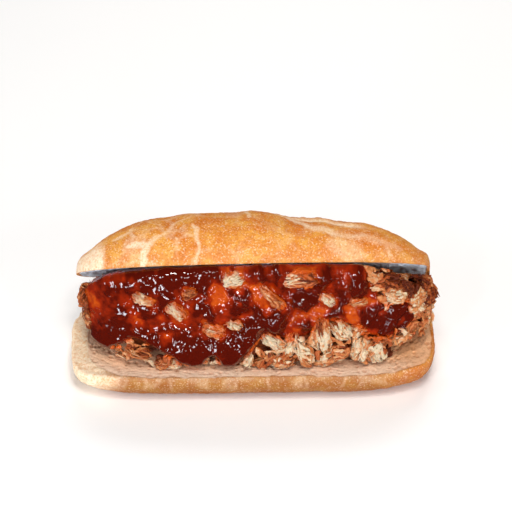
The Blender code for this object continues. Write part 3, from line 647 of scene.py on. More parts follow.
def build_lid_bread():
    """The upper half: dome sections along X over a cut face, turned back about its back edge.

    A section's dome is y = -cos(a)^0.9 and z = sin(a)^0.86 of the half width and height at that place, and
    its cut face runs back below it. Slashes, swells and blisters move points outwards, and pores move them
    in."""
    look = bpy.context.scene.sandwich_bread
    fine = np.sin(np.linspace(-math.pi / 2, math.pi / 2, 8001))
    tall = lid_share(fine, *LID_HEIGHT_ENDS) * LID_HEIGHT
    lengths = np.hypot(np.diff(fine) * LID_LENGTH / 2, np.diff(tall))
    along = spread_evenly(fine, lengths, 432)[1:-1]
    arc = np.linspace(0, math.pi, 161)[:-1]
    # Places across the cut face, closer together near both edges
    edges, inner = np.linspace(0, 0.30, 22, endpoint=False), np.linspace(0.30, 1.0, 9, endpoint=False)
    near = 0.5 * np.concatenate([edges, inner])
    cut = np.concatenate([near, 1 - near[::-1]])
    x = np.broadcast_to((LID_MIDDLE + along * LID_LENGTH / 2)[:, None], (len(along), len(arc) + len(cut)))
    half_width = (LID_WIDTH / 2 * lid_share(along, *LID_WIDTH_ENDS))[:, None]
    height = (LID_HEIGHT * lid_crest(along) * lid_share(along, *LID_HEIGHT_ENDS))[:, None]
    c = np.concatenate([-np.cos(arc), 1 - 2 * cut])
    s = np.concatenate([np.sin(arc), np.zeros_like(cut)])
    on_dome = np.concatenate([np.ones_like(arc), np.zeros_like(cut)])
    across = np.broadcast_to(np.concatenate([arc / math.pi, 1 - cut]), x.shape)
    dome_y = np.sign(c) * np.abs(c) ** 0.9
    y = half_width * np.where(on_dome > 0, dome_y, c)
    z = height * s**0.86
    flat_points = np.stack([x, y, z], axis=-1)
    score, band, flap = score_shares(x, across)
    waves = 0.0005 * np.sin(x * 95 + 4 * across + 2.5) + 0.0003 * np.sin(x * 190 - 7 * across + 1.0)
    lift = (score + waves) * s * height / LID_HEIGHT
    lift = lift + crust_relief(flat_points, look.blister, 31) * on_dome * smoothstep(0.0, 0.16, s)
    y, z = y + lift * c, z + lift * s
    inward = half_width * (1 - np.abs(c))
    end_room = (1 - np.abs(along))[:, None] * LID_LENGTH / 2
    edge = look.thickness * (1.0 + 0.35 * value_noise(flat_points, 0.006, 15))
    crumb = (1 - on_dome) * smoothstep(-0.0003, 0.0006, np.minimum(inward, end_room) - edge)
    pores, pore_share = crumb_relief(flat_points, look.pore, 41)
    z = z + crumb * (pores + 0.0003 + 0.0005 * layered_noise(flat_points, 0.0034, 43))
    z = z + lid_lift(x) - lid_droop(x) * (1 + c) / 2
    tilt = math.radians(LID_TILT)
    local_y = y - LID_WIDTH / 2

    def turned(px, py, pz):
        """Points turned back about the back edge and moved to it."""
        wy = py * math.cos(tilt) + pz * math.sin(tilt) + LID_BACK_EDGE[0]
        return np.stack([px, wy, pz * math.cos(tilt) - py * math.sin(tilt) + LID_BACK_EDGE[1]], axis=-1)

    rings = turned(x, local_y, z)
    ends = np.array((LID_MIDDLE - LID_LENGTH / 2, LID_MIDDLE + LID_LENGTH / 2))
    tips = turned(ends, np.full(2, -LID_WIDTH / 2), lid_lift(ends) - lid_droop(ends) / 2)
    points, quads, triangles = closed_skin(rings[:, ::-1], tips[0], tips[1])
    left_tip = smoothstep(-0.078, -0.084, x + 0.003 * value_noise(flat_points, 0.008, 9))
    left_tip = left_tip * smoothstep(0.42, 0.14, across)
    seams = near_strokes(x, across, PALE_SEAMS, 71)
    network = crust_patches(flat_points, 0.017, 51) * (0.12 + 0.18 * smoothstep(0.02, -0.03, x))
    network = network * smoothstep(-0.35, 0.25, layered_noise(flat_points, 0.014, 53))
    network = network * (1 - 0.5 * smoothstep(0.35, 0.5, across))
    front_edge = 0.06 * smoothstep(0.12, 0.0, across)
    pale = np.maximum.reduce([1.3 * left_tip, seams, network, 0.95 * band, front_edge])
    brown = 0.55 * flap + 0.16 * smoothstep(0.38, 0.62, across) + 0.35 * smoothstep(0.0588, 0.0931, x)
    # The cut face's crumb takes the blue-grey tint of painted cool light
    attributes = {
        "crumb": crumb, "pale": np.clip(pale * on_dome, 0, 1), "brown": np.clip(brown * on_dome, 0, 1),
        "pore": pore_share * crumb, "juice": 0 * crumb, "straw": 0 * crumb, "cool": crumb,
    }
    attributes = {
        key: np.concatenate([values[:, ::-1].ravel(), (0, 0)]) for key, values in attributes.items()
    }
    made = build_mesh("lid_bread", points, quads, triangles, bread_material(), attributes)
    return finish_piece(made, "baked_crust_lid", "roll_lid")


def bread_material():
    """Baked white bread: a dry, matte crust that browns unevenly, with pale blisters, and an open crumb."""
    made = bpy.data.materials.get("baked_wheat_bread")
    if made:
        return made
    look = bpy.context.scene.sandwich_bread
    material, tree, shader = new_material("baked_wheat_bread")
    where = add_node(tree, "ShaderNodeTexCoord", "Object")
    shares = {
        key: add_node(tree, "ShaderNodeAttribute", "Fac", {"attribute_name": key})
        for key in ("crumb", "pale", "brown", "pore", "juice", "straw", "cool")
    }
    # Browning changes over 10 mm in islands with crisp edges, mottles over 2.2 mm, and the crust's own grain
    # and its blisters show as dark and pale specks of 1 mm
    noises = {}
    for key, size, detail in (
        ("broad", 0.010, 5.0), ("mottle", 0.0022, 3.0), ("speck", 0.0010, 2.0), ("grain", 0.0011, 2.0),
        ("dust", 0.004, 4.0),
    ):
        settings = {"Scale": 1 / size, "Detail": detail, "Roughness": 0.6, "Vector": where}
        noises[key] = add_node(tree, "ShaderNodeTexNoise", "Fac", settings)
    # Each share runs from its first to its second value as its noise goes from the third to the fourth
    levels = {}
    for key, noise, first, last, low, high in (
        ("mottled", "mottle", 0.52, 1.0, 0.25, 0.62), ("speck", "speck", 0.0, 0.56, 0.54, 0.68),
        ("grain", "grain", 0.0, 0.44, 0.50, 0.34), ("fleck", "speck", 0.0, 0.20, 0.52, 0.34),
    ):
        settings = {"From Min": low, "From Max": high, "To Min": first, "To Max": last}
        levels[key] = add_node(tree, "ShaderNodeMapRange", 0, {**settings, "Value": noises[noise]})
    # Fewer blisters show pale where the crust is straw or brown
    darker, dusty, height = (
        add_node(tree, "ShaderNodeMath", 0, {"operation": operation, 0: first, 1: second})
        for operation, first, second in (
            ("MAXIMUM", shares["straw"], shares["brown"]), ("MULTIPLY", shares["brown"], noises["dust"]),
            ("ADD", noises["mottle"], noises["speck"]),
        )
    )
    kept = add_node(tree, "ShaderNodeMapRange", 0, {"To Min": 1.0, "To Max": 0.55, "Value": darker})
    brown, pale, speck, shade = (
        add_node(tree, "ShaderNodeMath", 0, {"operation": "MULTIPLY", "use_clamp": True, 0: first, 1: second})
        for first, second in (
            (dusty, 1.5), (levels["mottled"], shares["pale"]), (levels["speck"], kept),
            (shares["pore"], 0.34),
        )
    )
    islands = ((0.42, (0, 0, 0)), (0.50, (0.6, 0.6, 0.6)), (0.62, (1, 1, 1)))
    broad = add_node(tree, "ShaderNodeValToRGB", "Color", {"stops": islands, "Fac": noises["broad"]})
    crust, front, dark, crumb = (
        add_node(tree, "ShaderNodeMix", 2, {"data_type": "RGBA", 0: share, 6: first, 7: second})
        for share, first, second in (
            (broad, look.gold, look.orange), (broad, look.straw, look.toast),
            (shares["pale"], look.brown, look.gold), (shares["juice"], look.cream, look.peach),
        )
    )
    for share, colour in (
        (shares["straw"], front), (brown, look.brown), (pale, look.pale), (speck, look.pale),
        (levels["grain"], dark),
    ):
        crust = add_node(tree, "ShaderNodeMix", 2, {"data_type": "RGBA", 0: share, 6: crust, 7: colour})
    # On the lid's cut face the crumb turns blue-grey, painted cool light on shaded crumb; then pores and
    # flecks darken it
    for share, colour in ((shares["cool"], look.cool), (shade, look.brown), (levels["fleck"], look.straw)):
        crumb = add_node(tree, "ShaderNodeMix", 2, {"data_type": "RGBA", 0: share, 6: crumb, 7: colour})
    bread = {"data_type": "RGBA", 0: shares["crumb"], 6: crust, 7: crumb}
    apply_settings(tree, shader, {
        "Base Color": add_node(tree, "ShaderNodeMix", 2, bread),
        "Roughness": add_node(
            tree, "ShaderNodeMapRange", 0, {"To Min": 0.62, "To Max": 0.92, "Value": shares["crumb"]}
        ),
        "Normal": add_node(
            tree, "ShaderNodeBump", "Normal", {"Strength": 0.55, "Distance": 0.0003, "Height": height}
        ),
        "Specular IOR Level": 0.35,
    })
    return material


# Heap


def lid_plane_normal():
    """y and z of the cut face's normal, away from the filling."""
    tilt = math.radians(LID_TILT)
    return np.array([math.sin(tilt), math.cos(tilt)])


def beyond_cut_face(points):
    """How far each point lies beyond the lid's cut face, negative on the filling's side."""
    x = points[..., 0]
    return (points[..., 1:] - LID_BACK_EDGE) @ lid_plane_normal() - lid_lift(x) + lid_droop(x)


def heap_sides():
    """The four flat sides that the heap's section is rounded from: normals, and distances from its axis."""
    front_run = (HEAP_FRONT[1] - HEAP_FRONT[0]) / np.linalg.norm(HEAP_FRONT[1] - HEAP_FRONT[0])
    back_run = (HEAP_BACK[1] - HEAP_BACK[0]) / np.linalg.norm(HEAP_BACK[1] - HEAP_BACK[0])
    sides = [
        (np.array([0.0, -1.0]), np.array([0.0, BASE_HEIGHT + GAP])),
        (lid_plane_normal(), LID_BACK_EDGE - GAP * lid_plane_normal()),
        (np.array([-front_run[1], front_run[0]]), HEAP_FRONT[0]),
        (np.array([back_run[1], -back_run[0]]), HEAP_BACK[0]),
    ]
    normals = np.array([normal for normal, _ in sides])
    return normals, np.array([normal @ (point - HEAP_AXIS) for normal, point in sides])


def heap_point(x, turn):
    """The bare heap's skin at x and a turn round its axis, where turn 0 is +Y and a quarter turn is up.

    The radius is a power mean of the distances to four flat sides, faded to nothing at both ends."""
    normals, distances = heap_sides()
    direction = np.stack([np.cos(turn), np.sin(turn)], axis=-1)
    distances = np.broadcast_to(distances, (*turn.shape, 4)).copy()
    distances[..., 1] += lid_lift(x) - lid_droop(x)
    reach = np.clip(direction @ normals.T, 0, None) / distances
    radius = (reach**HEAP_CORNER_POWER).sum(axis=-1) ** (-1 / HEAP_CORNER_POWER)
    along = np.clip(np.abs(x - HEAP_MIDDLE) / (HEAP_LENGTH / 2), 0, 1)
    radius = radius * (1 - along**4.5) ** 0.5
    section = HEAP_AXIS + radius[..., None] * direction
    return np.concatenate([np.broadcast_to(x, turn.shape)[..., None], section], axis=-1)


def heap_normal(x, turn, step=1e-4):
    """The skin's outward normal, from the slopes along the heap and round it."""
    along = heap_point(x + step, turn) - heap_point(x - step, turn)
    around = heap_point(x, turn + step) - heap_point(x, turn - step)
    normal = np.cross(along, around)
    normal /= np.linalg.norm(normal, axis=-1, keepdims=True)
    outward = heap_point(x, turn)[..., 1:] - HEAP_AXIS
    return normal * np.sign((normal[..., 1:] * outward).sum(axis=-1, keepdims=True))


def front_turn(x, height):
    """The turn at which the heap's front face stands at a height."""
    turn = np.linspace(math.radians(113), math.radians(217), 400)
    heights = heap_point(np.full_like(turn, min(max(x, -0.072), 0.078)), turn)[:, 2]
    return float(np.interp(-height, -heights, turn))


def even_turns(start, end, count):
    """Turns from start to end that are evenly spaced along the heap's middle section."""
    turn = np.linspace(math.radians(start), math.radians(end), 600)
    steps = np.linalg.norm(np.diff(heap_point(np.zeros_like(turn), turn), axis=0), axis=1)
    return spread_evenly(turn, steps, count)


def rounded_outline(points, passes=2):
    """A closed outline with its corners cut off, as often as it has passes."""
    outline = np.array(points, float)
    for _ in range(passes):
        after = np.roll(outline, -1, axis=0)
        cut = [0.75 * outline + 0.25 * after, 0.25 * outline + 0.75 * after]
        outline = np.stack(cut, axis=1).reshape(-1, 2)
    return outline


def depth_inside(places, outline):
    """Distance of each x and z from a closed outline, negative outside it."""
    start, end = outline, np.roll(outline, -1, axis=0)
    run = end - start
    nearest = np.full(len(places), 1.0)
    crossings = np.zeros(len(places), int)
    for a, b, r in zip(start, end, run):
        offset = places - a
        share = np.clip(offset @ r / (r @ r), 0, 1)
        nearest = np.minimum(nearest, np.linalg.norm(offset - share[:, None] * r, axis=-1))
        crosses = (a[1] > places[:, 1]) != (b[1] > places[:, 1])
        rise = r[1] if r[1] else 1e-12
        crossings += crosses & (places[:, 0] < a[0] + (places[:, 1] - a[1]) / rise * r[0])
    return np.where(crossings % 2 == 1, nearest, -nearest)


def inside_sauce(points):
    """How far inside the sauce's outline each point of the heap's front lies."""
    places = points[..., [0, 2]].reshape(-1, 2)
    return depth_inside(places, rounded_outline(SAUCE_HEM + SAUCE_TOP)).reshape(points.shape[:-1])


def piece_frame(x, turn, degrees):
    """Place, run, side and outward directions of a piece of meat that lies on the heap's skin."""
    at, turns = np.array([x]), np.array([turn])
    place = heap_point(at, turns)[0]
    out = heap_normal(at, turns)[0]
    level = np.array([1.0, 0.0, 0.0]) - out[0] * out
    level /= np.linalg.norm(level)
    up = np.cross(level, out)
    up *= np.sign(up[2]) or 1.0
    angle = math.radians(degrees)
    run = level * math.cos(angle) + up * math.sin(angle)
    return place, run, np.cross(out, run), out


def drawn_back(points):
    """1 where the heap's foot is drawn back from the bread, low at the front near both ends, and 0 away."""
    x, y, z = np.moveaxis(np.asarray(points), -1, 0)
    ends = np.maximum(0.5 * smoothstep(-0.036, -0.048, x), smoothstep(0.066, 0.073, x))
    return ends * smoothstep(0.037, 0.026, z) * smoothstep(-0.005, -0.015, y)


def reach_from(x, z, oval):
    """Distance of x and z from an oval's middle, as a share of its radii: 1 on its edge."""
    x_middle, z_middle, wide, tall = oval
    return np.hypot((x - x_middle) / wide, (z - z_middle) / tall)


def left_out(place, covered):
    """Whether a place on the heap's front has no torn piece: in the hollow, or a covered one in the pool."""
    in_hollow = reach_from(place[0], place[2], HOLLOW) < 1
    in_pool = covered and reach_from(place[0], place[2], POOL) < 1
    return bool((in_hollow or in_pool) and place[1] < HEAP_AXIS[0])


def meat_tone(place, rng):
    """How dark meat is at a place on the heap: darker at both ends, and darker low on the left and round the
    hollow as painted shade, with noise of 9 mm so that neighbours match, and a random share."""
    ends = smoothstep(0.050, 0.085, place[0]) * 0.24 + smoothstep(-0.070, -0.088, place[0]) * 0.30
    # Low on the left, under the sauce's lobes, and round the hollow the meat darkens: painted shade
    low = smoothstep(0.040, 0.028, place[2]) * smoothstep(-0.010, -0.030, place[0]) * 0.10
    hollow = 0.34 * smoothstep(1.9, 0.9, reach_from(place[0], place[2], HOLLOW))
    return 0.34 + 0.34 * float(value_noise(place, 0.009, 13)) + rng.uniform(-0.14, 0.14) + ends + low + hollow


def scattered_pieces():
    """Pieces over all the heap's skin that shows, where the solids have them: frame, half length, half width,
    depth, tones of both ends, and whether sauce covers it."""
    rng, tones = np.random.RandomState(LAYOUT_SEED), np.random.RandomState(5)
    kept = []
    places = [heap_point(np.array([x]), np.array([front_turn(x, z)]))[0] for x, z, *_ in PROUD_PIECES]
    for _ in range(1500):
        x = HEAP_MIDDLE + rng.uniform(-0.495, 0.495) * HEAP_LENGTH
        turn = rng.uniform(*HEAP_TURNS)
        degrees = rng.uniform(-90, 90)
        half_length, half_width = rng.uniform(0.0052, 0.0092), rng.uniform(0.0034, 0.0048)
        depth = rng.uniform(0.0034, 0.0050)
        piece = piece_frame(x, turn, degrees)
        place = piece[0]
        under_lid = beyond_cut_face(place) > -0.0042
        on_bread = place[2] < BASE_HEIGHT + 0.0030
        crowded = any(np.linalg.norm(place - other) < PIECE_SPACING for other in places)
        if under_lid or on_bread or crowded:
            continue
        places.append(place)
        if drawn_back(place) > 0.3:
            continue
        covered = place[1] < HEAP_AXIS[0] and inside_sauce(place[None])[0] > 0.0008
        tone = meat_tone(place, tones)
        ends = (tone, tone + tones.uniform(-0.15, 0.2))
        if left_out(place, covered):
            continue
        kept.append((piece, half_length, half_width, depth, ends, covered))
    return kept


def placed_pieces(table, depth):
    """The pieces of a table, in the same form as the scattered ones."""
    kept = []
    for x, z, degrees, length, width, first_tone, last_tone in table:
        piece = piece_frame(x, front_turn(x, z), degrees)
        kept.append((piece, length / 2, width / 2, depth, (first_tone, last_tone), False))
    return kept


def keep_clear(points, room=0.00064):
    """Points moved out of the roll's base and lid, where they had gone in."""
    points = np.array(points)
    points[..., 2] = np.maximum(points[..., 2], BASE_HEIGHT - CRUMB_DISH + 0.0002)
    beyond = beyond_cut_face(points) + room
    points[..., 1:] -= np.clip(beyond, 0, None)[..., None] * lid_plane_normal()
    return points


# Sauce field

FIELD_X = HEAP_MIDDLE + np.linspace(-0.4990, 0.4990, 408) * HEAP_LENGTH
FIELD_TURN = even_turns(109, 219, 156)
FIELD = np.meshgrid(FIELD_X, FIELD_TURN, indexing="ij")


def blurred(grid, passes):
    """A grid of values, each pass blending every value with its neighbours by 1, 2, 1 both ways."""
    for _ in range(passes):
        wide = np.pad(grid, 1, mode="edge")
        grid = (wide[:-2] + 2 * wide[1:-1] + wide[2:]) / 4
        grid = (grid[:, :-2] + 2 * grid[:, 1:-1] + grid[:, 2:]) / 4
    return grid


def meat_heights(points, pieces):
    """Heights over the bare heap of covered and of standing meat: the tallest cap of any piece at each point.

    A cap is (1 - |a|^3)^0.4 (1 - b^2)^0.5 of the piece's height, with a and b along and across its grain, and
    its outline is bent by noise of 5 mm."""
    heights = [np.zeros(points.shape[:-1]), np.zeros(points.shape[:-1])]
    points = roughened(points, 0.0050, 0.0016, 79)
    for (place, run, side, _), half_length, half_width, depth, _, covered in pieces:
        offset = points - place
        a, b = offset @ run / (half_length * 1.05), offset @ side / (half_width * 1.1)
        cap = np.clip(1 - np.abs(a) ** 3, 0, 1) ** 0.4 * np.clip(1 - b**2, 0, 1) ** 0.5
        standing = 0 if covered else 1
        heights[standing] = np.maximum(heights[standing], 0.87 * depth * cap)
    return heights


def sauce_directions(normals):
    """The ways in which the sauce gains thickness: along the heap's normals, but never downwards, so that its
    lobes bulge forwards over the bread."""
    ways = np.array(normals)
    ways[..., 2] = np.maximum(ways[..., 2], -0.15)
    return ways / np.linalg.norm(ways, axis=-1, keepdims=True)


def sauce_field(pieces):
    """Height of the sauce's skin over the bare heap, its depth over the meat, and how far inside its outline
    each place is, on the grid of FIELD.

    The skin is the meat's height, blurred over about 1.5 mm, plus the sauce's thickness, which falls off to a
    rounded bead at the outline. Low on the left it swells to hanging lobes, and in the pool it lies
    smooth."""
    look = bpy.context.scene.sandwich_sauce
    x, turn = FIELD
    skin = heap_point(x, turn)
    z = skin[..., 2]
    rim = inside_sauce(skin) + 0.0008 * layered_noise(skin, 0.006, 83)
    covered, standing = meat_heights(skin, pieces)
    calm = 0.45 + 0.70 * smoothstep(-0.050, 0.005, x)
    calm = calm * (1 - 0.5 * smoothstep(0.060, 0.068, z) * smoothstep(0.01, -0.01, x))
    pool = smoothstep(1.25, 0.60, reach_from(x, z, POOL))
    calm = calm * (1 - 0.8 * pool)
    hem = smoothstep(0.042, 0.028, z) * smoothstep(0.010, -0.005, x)
    bed = blurred(np.maximum(covered * calm, 0.50 * standing), 13) * (1 - 0.80 * hem)
    bed = bed * (1 - 0.85 * pool) + 0.0018 * pool
    thickness = look.thickness * (1 + 0.35 * (1 - hem) * layered_noise(skin, 0.011, 91))
    thickness = thickness * (1 - 0.75 * (1 - hem) * smoothstep(0.0, 0.0025, blurred(standing, 3)))
    thickness = thickness + 0.0030 * hem
    bead = np.sqrt(np.clip(rim / 0.0026, 0, 1))
    lumps = 0.00055 * layered_noise(skin, 0.0052, 97)
    lumps = lumps * (0.35 + 0.65 * smoothstep(-0.040, 0.010, x)) * (1 - pool)
    skin_height = (bed + lumps) * smoothstep(-0.0020, 0.0012, rim) + thickness * bead
    skin_height = skin_height - 0.0035 * smoothstep(0.0, -0.0025, rim)
    first, _, mark = cell_distances(skin, 0.013, 95)
    spots = 0.0014 * smoothstep(0.45, 0.05, first) * (mark > 0.45)
    depth = skin_height - blurred(np.maximum(covered * calm * 0.54, standing * 0.42), 10) - spots * (1 - pool)
    uneven = 0.45 * layered_noise(skin, 0.005, 99)
    for *oval, share in SAUCE_DEPTHS:
        depth = depth - 0.0017 * share * smoothstep(1.25, 0.20, reach_from(x, z, oval) + uneven)
    depth = depth + 0.0007 * layered_noise(skin, 0.0030, 105)
    depth = np.maximum(depth, 0.0003 + 0.0006 * np.abs(layered_noise(skin, 0.0022, 109)))
    return skin_height, depth, rim


def field_lookup(points, grid):
    """Values of a field's grid at points, by their x and their turn round the heap's axis, blended between
    the four nearest places."""
    turn = np.arctan2(points[..., 2] - HEAP_AXIS[1], points[..., 1] - HEAP_AXIS[0]) % (2 * math.pi)
    i = np.clip(np.interp(points[..., 0], FIELD_X, np.arange(len(FIELD_X))), 0, len(FIELD_X) - 1.001)
    j = np.clip(np.interp(turn, FIELD_TURN, np.arange(len(FIELD_TURN))), 0, len(FIELD_TURN) - 1.001)
    low_i, low_j = i.astype(int), j.astype(int)
    s, t = i - low_i, j - low_j
    near = grid[low_i, low_j] * (1 - t) + grid[low_i, low_j + 1] * t
    far = grid[low_i + 1, low_j] * (1 - t) + grid[low_i + 1, low_j + 1] * t
    on_front = (turn > FIELD_TURN[0]) & (turn < FIELD_TURN[-1])
    return near * (1 - s) + far * s, on_front


def from_axis(points):
    """Distance of each point from the heap's axis."""
    return np.hypot(points[..., 1] - HEAP_AXIS[0], points[..., 2] - HEAP_AXIS[1])


def above_sauce(points, radius_grid):
    """How far each point stands out over the sauce's skin, measured from the heap's axis. It is large where
    there is no sauce."""
    radius, on_front = field_lookup(points, radius_grid)
    return np.where(on_front, from_axis(points) - radius, 0.01)


def soak_of(points, fields):
    """How much sauce stains the meat at each point: 1 near the sauce's skin or below it, and 0 from about 4
    mm over it, with noise of 3.6 mm so that some pieces are half coated."""
    radius_grid, rim = fields
    over = above_sauce(points, radius_grid) - 0.0019 * layered_noise(points, 0.0036, 87)
    inside, on_front = field_lookup(points, rim)
    return smoothstep(0.0038, 0.0010, over) * smoothstep(-0.0020, 0.0012, inside) * on_front


def pressed_under(points, fields):
    """Points inside the sauce's outline, moved towards the heap's axis until they lie under its skin."""
    radius_grid, rim = fields
    inside, on_front = field_lookup(points, rim)
    press = np.clip(above_sauce(points, radius_grid) + UNDER_SAUCE, 0, None)
    press = press * smoothstep(0, 0.0012, inside) * on_front
    offset = points[..., 1:] - HEAP_AXIS
    offset = offset / np.linalg.norm(offset, axis=-1, keepdims=True)
    moved = np.array(points)
    moved[..., 1:] -= press[..., None] * offset
    return moved


def roughened(points, size, reach, seed):
    """Points moved by up to about the reach, by one noise of the size in each direction."""
    noises = [layered_noise(points, size, seed + 11 * k, 2) for k in range(3)]
    return points + reach * np.stack(noises, axis=-1)


# The pieces and the sauce's field, once they are worked out
LAYOUT = {}


def shared_layout():
    """The pieces and the sauce's field, worked out once and kept for all operators."""
    if not LAYOUT:
        placed = placed_pieces(PROUD_PIECES, PROUD_DEPTH) + placed_pieces(END_PIECES, END_DEPTH)
        pieces = scattered_pieces() + placed
        height, depth, rim = sauce_field(pieces)
        upper = heap_point(*FIELD) + sauce_directions(heap_normal(*FIELD)) * height[..., None]
        LAYOUT.update(pieces=pieces, height=height, depth=depth, rim=rim, fields=(from_axis(upper), rim))
    return LAYOUT


def build_sauce():
    """The blanket of sauce: a closed sheet whose upper skin is the sauce's field over the heap, and whose
    lower skin lies in the meat. Outside its outline the upper skin dives into the meat, so its edge is a
    rounded bead."""
    look = bpy.context.scene.sandwich_sauce
    layout = shared_layout()
    x, _ = FIELD
    skin, normals = heap_point(*FIELD), heap_normal(*FIELD)
    height, rim = layout["height"], layout["rim"]
    # The skin is calmer on the left, and bubbles stand out more on the right
    calmer = 0.55 + 0.45 * smoothstep(-0.030, 0.010, x)
    grain = calmer * look.grain * (value_noise(skin, 0.0011, 101) + 0.8 * value_noise(skin, 0.0022, 103))
    first, _, mark = cell_distances(skin, 0.0026, 107)
    specks = 0.00024 * np.clip(1 - (first / 0.26) ** 2, 0, 1) * (mark > 0.25)
    specks = specks * (1 + 0.6 * smoothstep(-0.020, 0.020, x))
    upper = skin + sauce_directions(normals) * (height + grain + specks)[..., None]
    upper = keep_clear(upper, 0.0004)
    lower = skin - normals * 0.0040
    cells = (rim[:-1, :-1] + rim[1:, :-1] + rim[:-1, 1:] + rim[1:, 1:]) / 4 > -0.0026
    columns, rows = len(FIELD_X), len(FIELD_TURN)
    i, j = np.nonzero(cells)
    quad = np.stack([i * rows + j, (i + 1) * rows + j, (i + 1) * rows + j + 1, i * rows + j + 1], axis=-1)
    layer = columns * rows
    # Walls close the sheet along the open sides of its cells
    wide = np.pad(cells, 1)
    walls = []
    for k, (step_i, step_j) in enumerate(((0, -1), (1, 0), (0, 1), (-1, 0))):
        open_side = ~wide[1 + step_i : columns + step_i, 1 + step_j : rows + step_j][i, j]
        a, b = quad[open_side, k], quad[open_side, (k + 1) % 4]
        walls.append(np.stack([b, a, a + layer, b + layer], axis=-1))
    quads = np.concatenate([quad[:, ::-1], quad + layer, *[wall[:, ::-1] for wall in walls]])
    points = np.concatenate([lower.reshape(-1, 3), upper.reshape(-1, 3)])
    used, quads = np.unique(quads, return_inverse=True)
    quads = quads.reshape(-1, 4)
    depth = np.clip(layout["depth"], 0, 0.006)
    attributes = {"depth": np.concatenate([depth.ravel(), depth.ravel()])[used] * 1000}
    empty = np.zeros((0, 3), int)
    made = build_mesh("barbecue_sauce_skin", points[used], quads, empty, sauce_material(), attributes)
    return finish_piece(made, "glossy_sauce", "barbecue_sauce")


def sauce_material():
    """Tomato and sugar sauce, cooked to a thick syrup: smooth, very glossy, more orange where it is thin."""
    look = bpy.context.scene.sandwich_sauce
    material, tree, shader = new_material("barbecue_sauce_syrup")
    depth = add_node(tree, "ShaderNodeAttribute", "Fac", {"attribute_name": "depth"})
    where = add_node(tree, "ShaderNodeTexCoord", "Object")
    # Clouds 6 mm apart, and spice and bubbles under the skin, 1.2 mm apart
    cloud, fine = (
        add_node(
            tree, "ShaderNodeTexNoise", "Fac",
            {"Scale": scale, "Detail": detail, "Roughness": 0.55, "Vector": where},
        )
        for scale, detail in ((160.0, 3.0), (820.0, 2.0))
    )
    # The depth is in millimetres, which the clouds change by 0.6 either way
    cloud = add_node(
        tree, "ShaderNodeMapRange", 0,
        {"From Min": 0.3, "From Max": 0.7, "To Min": -0.6, "To Max": 0.6, "Value": cloud},
    )
    level = add_node(tree, "ShaderNodeMath", 0, {"operation": "ADD", 0: depth, 1: cloud})
    level = add_node(tree, "ShaderNodeMapRange", 0, {"From Min": 0.0, "From Max": 4.2, "Value": level})
    stops = ((0.0, look.thin), (0.33, look.middle), (0.72, look.deep))
    apply_settings(tree, shader, {
        "Base Color": add_node(tree, "ShaderNodeValToRGB", "Color", {"stops": stops, "Fac": level}),
        "Normal": add_node(
            tree, "ShaderNodeBump", "Normal", {"Strength": 0.15, "Distance": 0.0004, "Height": fine}
        ),
        "Roughness": 0.08,
        "IOR": 1.45,
        "Specular IOR Level": 0.55,
        "Coat Weight": 0.5,
        "Coat Roughness": 0.03,
    })
    return material


# Pork


def torn_body(rng, piece, half_length, half_width, depth, rings, around):
    """Rings of one torn piece of meat along its grain, its two tips, and each point's place along it.

    Its half width and height are (1 - v^6)^0.5 of the full ones at v from -1 to 1. A few bundles of fibres
    show as ridges |sin|^0.7 of the turn, which twist slowly along the grain, and each bundle ends at its own
    place."""
    place, run, side, out = piece
    v = np.sin(np.linspace(-math.pi / 2, math.pi / 2, rings + 2)[1:-1])
    u = np.linspace(0, 2 * math.pi, around, endpoint=False)
    vv, uu = np.meshgrid(v, u, indexing="ij")
    bundles = rng.randint(3, 6)
    phase, twist = rng.uniform(0, 6.3), rng.uniform(-0.5, 0.5)
    ridge = np.abs(np.sin(bundles * (uu + twist * vv) / 2 + phase)) ** 0.7
    fine = np.sin(uu * rng.randint(9, 13) + phase * 3 + 2.0 * twist * vv + 0.8 * np.sin(3 * vv + phase))
    radius = (1 - vv**6) ** 0.5 * (0.80 + 0.26 * ridge + 0.05 * fine)
    radius = radius * (1 + 0.16 * np.sin(2.6 * vv + rng.uniform(0, 6.3)) + 0.08 * np.sin(6 * vv + phase))
    far, near = (
        sum(rng.uniform(-1, 1) * np.sin(k * u + rng.uniform(0, 6.3)) for k in (1, 2, 3, 5, 7))
        for _ in range(2)
    )
    ragged = np.where(vv > 0, far[None], near[None]) * 0.13 * np.abs(vv) ** 3 * (1 - vv**6) ** 0.25
    along = (vv + ragged) * half_length
    bow = -PIECE_BOW * half_length * vv**2
    bend = rng.uniform(-0.28, 0.28) * half_length * (vv**2 - 0.35)
    centre = place + out * depth * PIECE_SEAT
    points = centre + run * along[..., None] + out * bow[..., None] + side * bend[..., None]
    points = points + side * (np.cos(uu) * radius * half_width)[..., None]
    points = points + out * (np.sin(uu) * radius * depth * PIECE_RISE)[..., None]
    tips = [centre + run * sign * half_length * 0.93 - out * PIECE_BOW * half_length for sign in (-1, 1)]
    return points, tips[0], tips[1], vv


def pork_attributes(points, grain, tone, fields):
    """The meat's attributes: place in the grain, tone, and how much sauce stains it."""
    return {"grain": grain, "tone": np.clip(tone, 0, 1), "soak": soak_of(points, fields)}


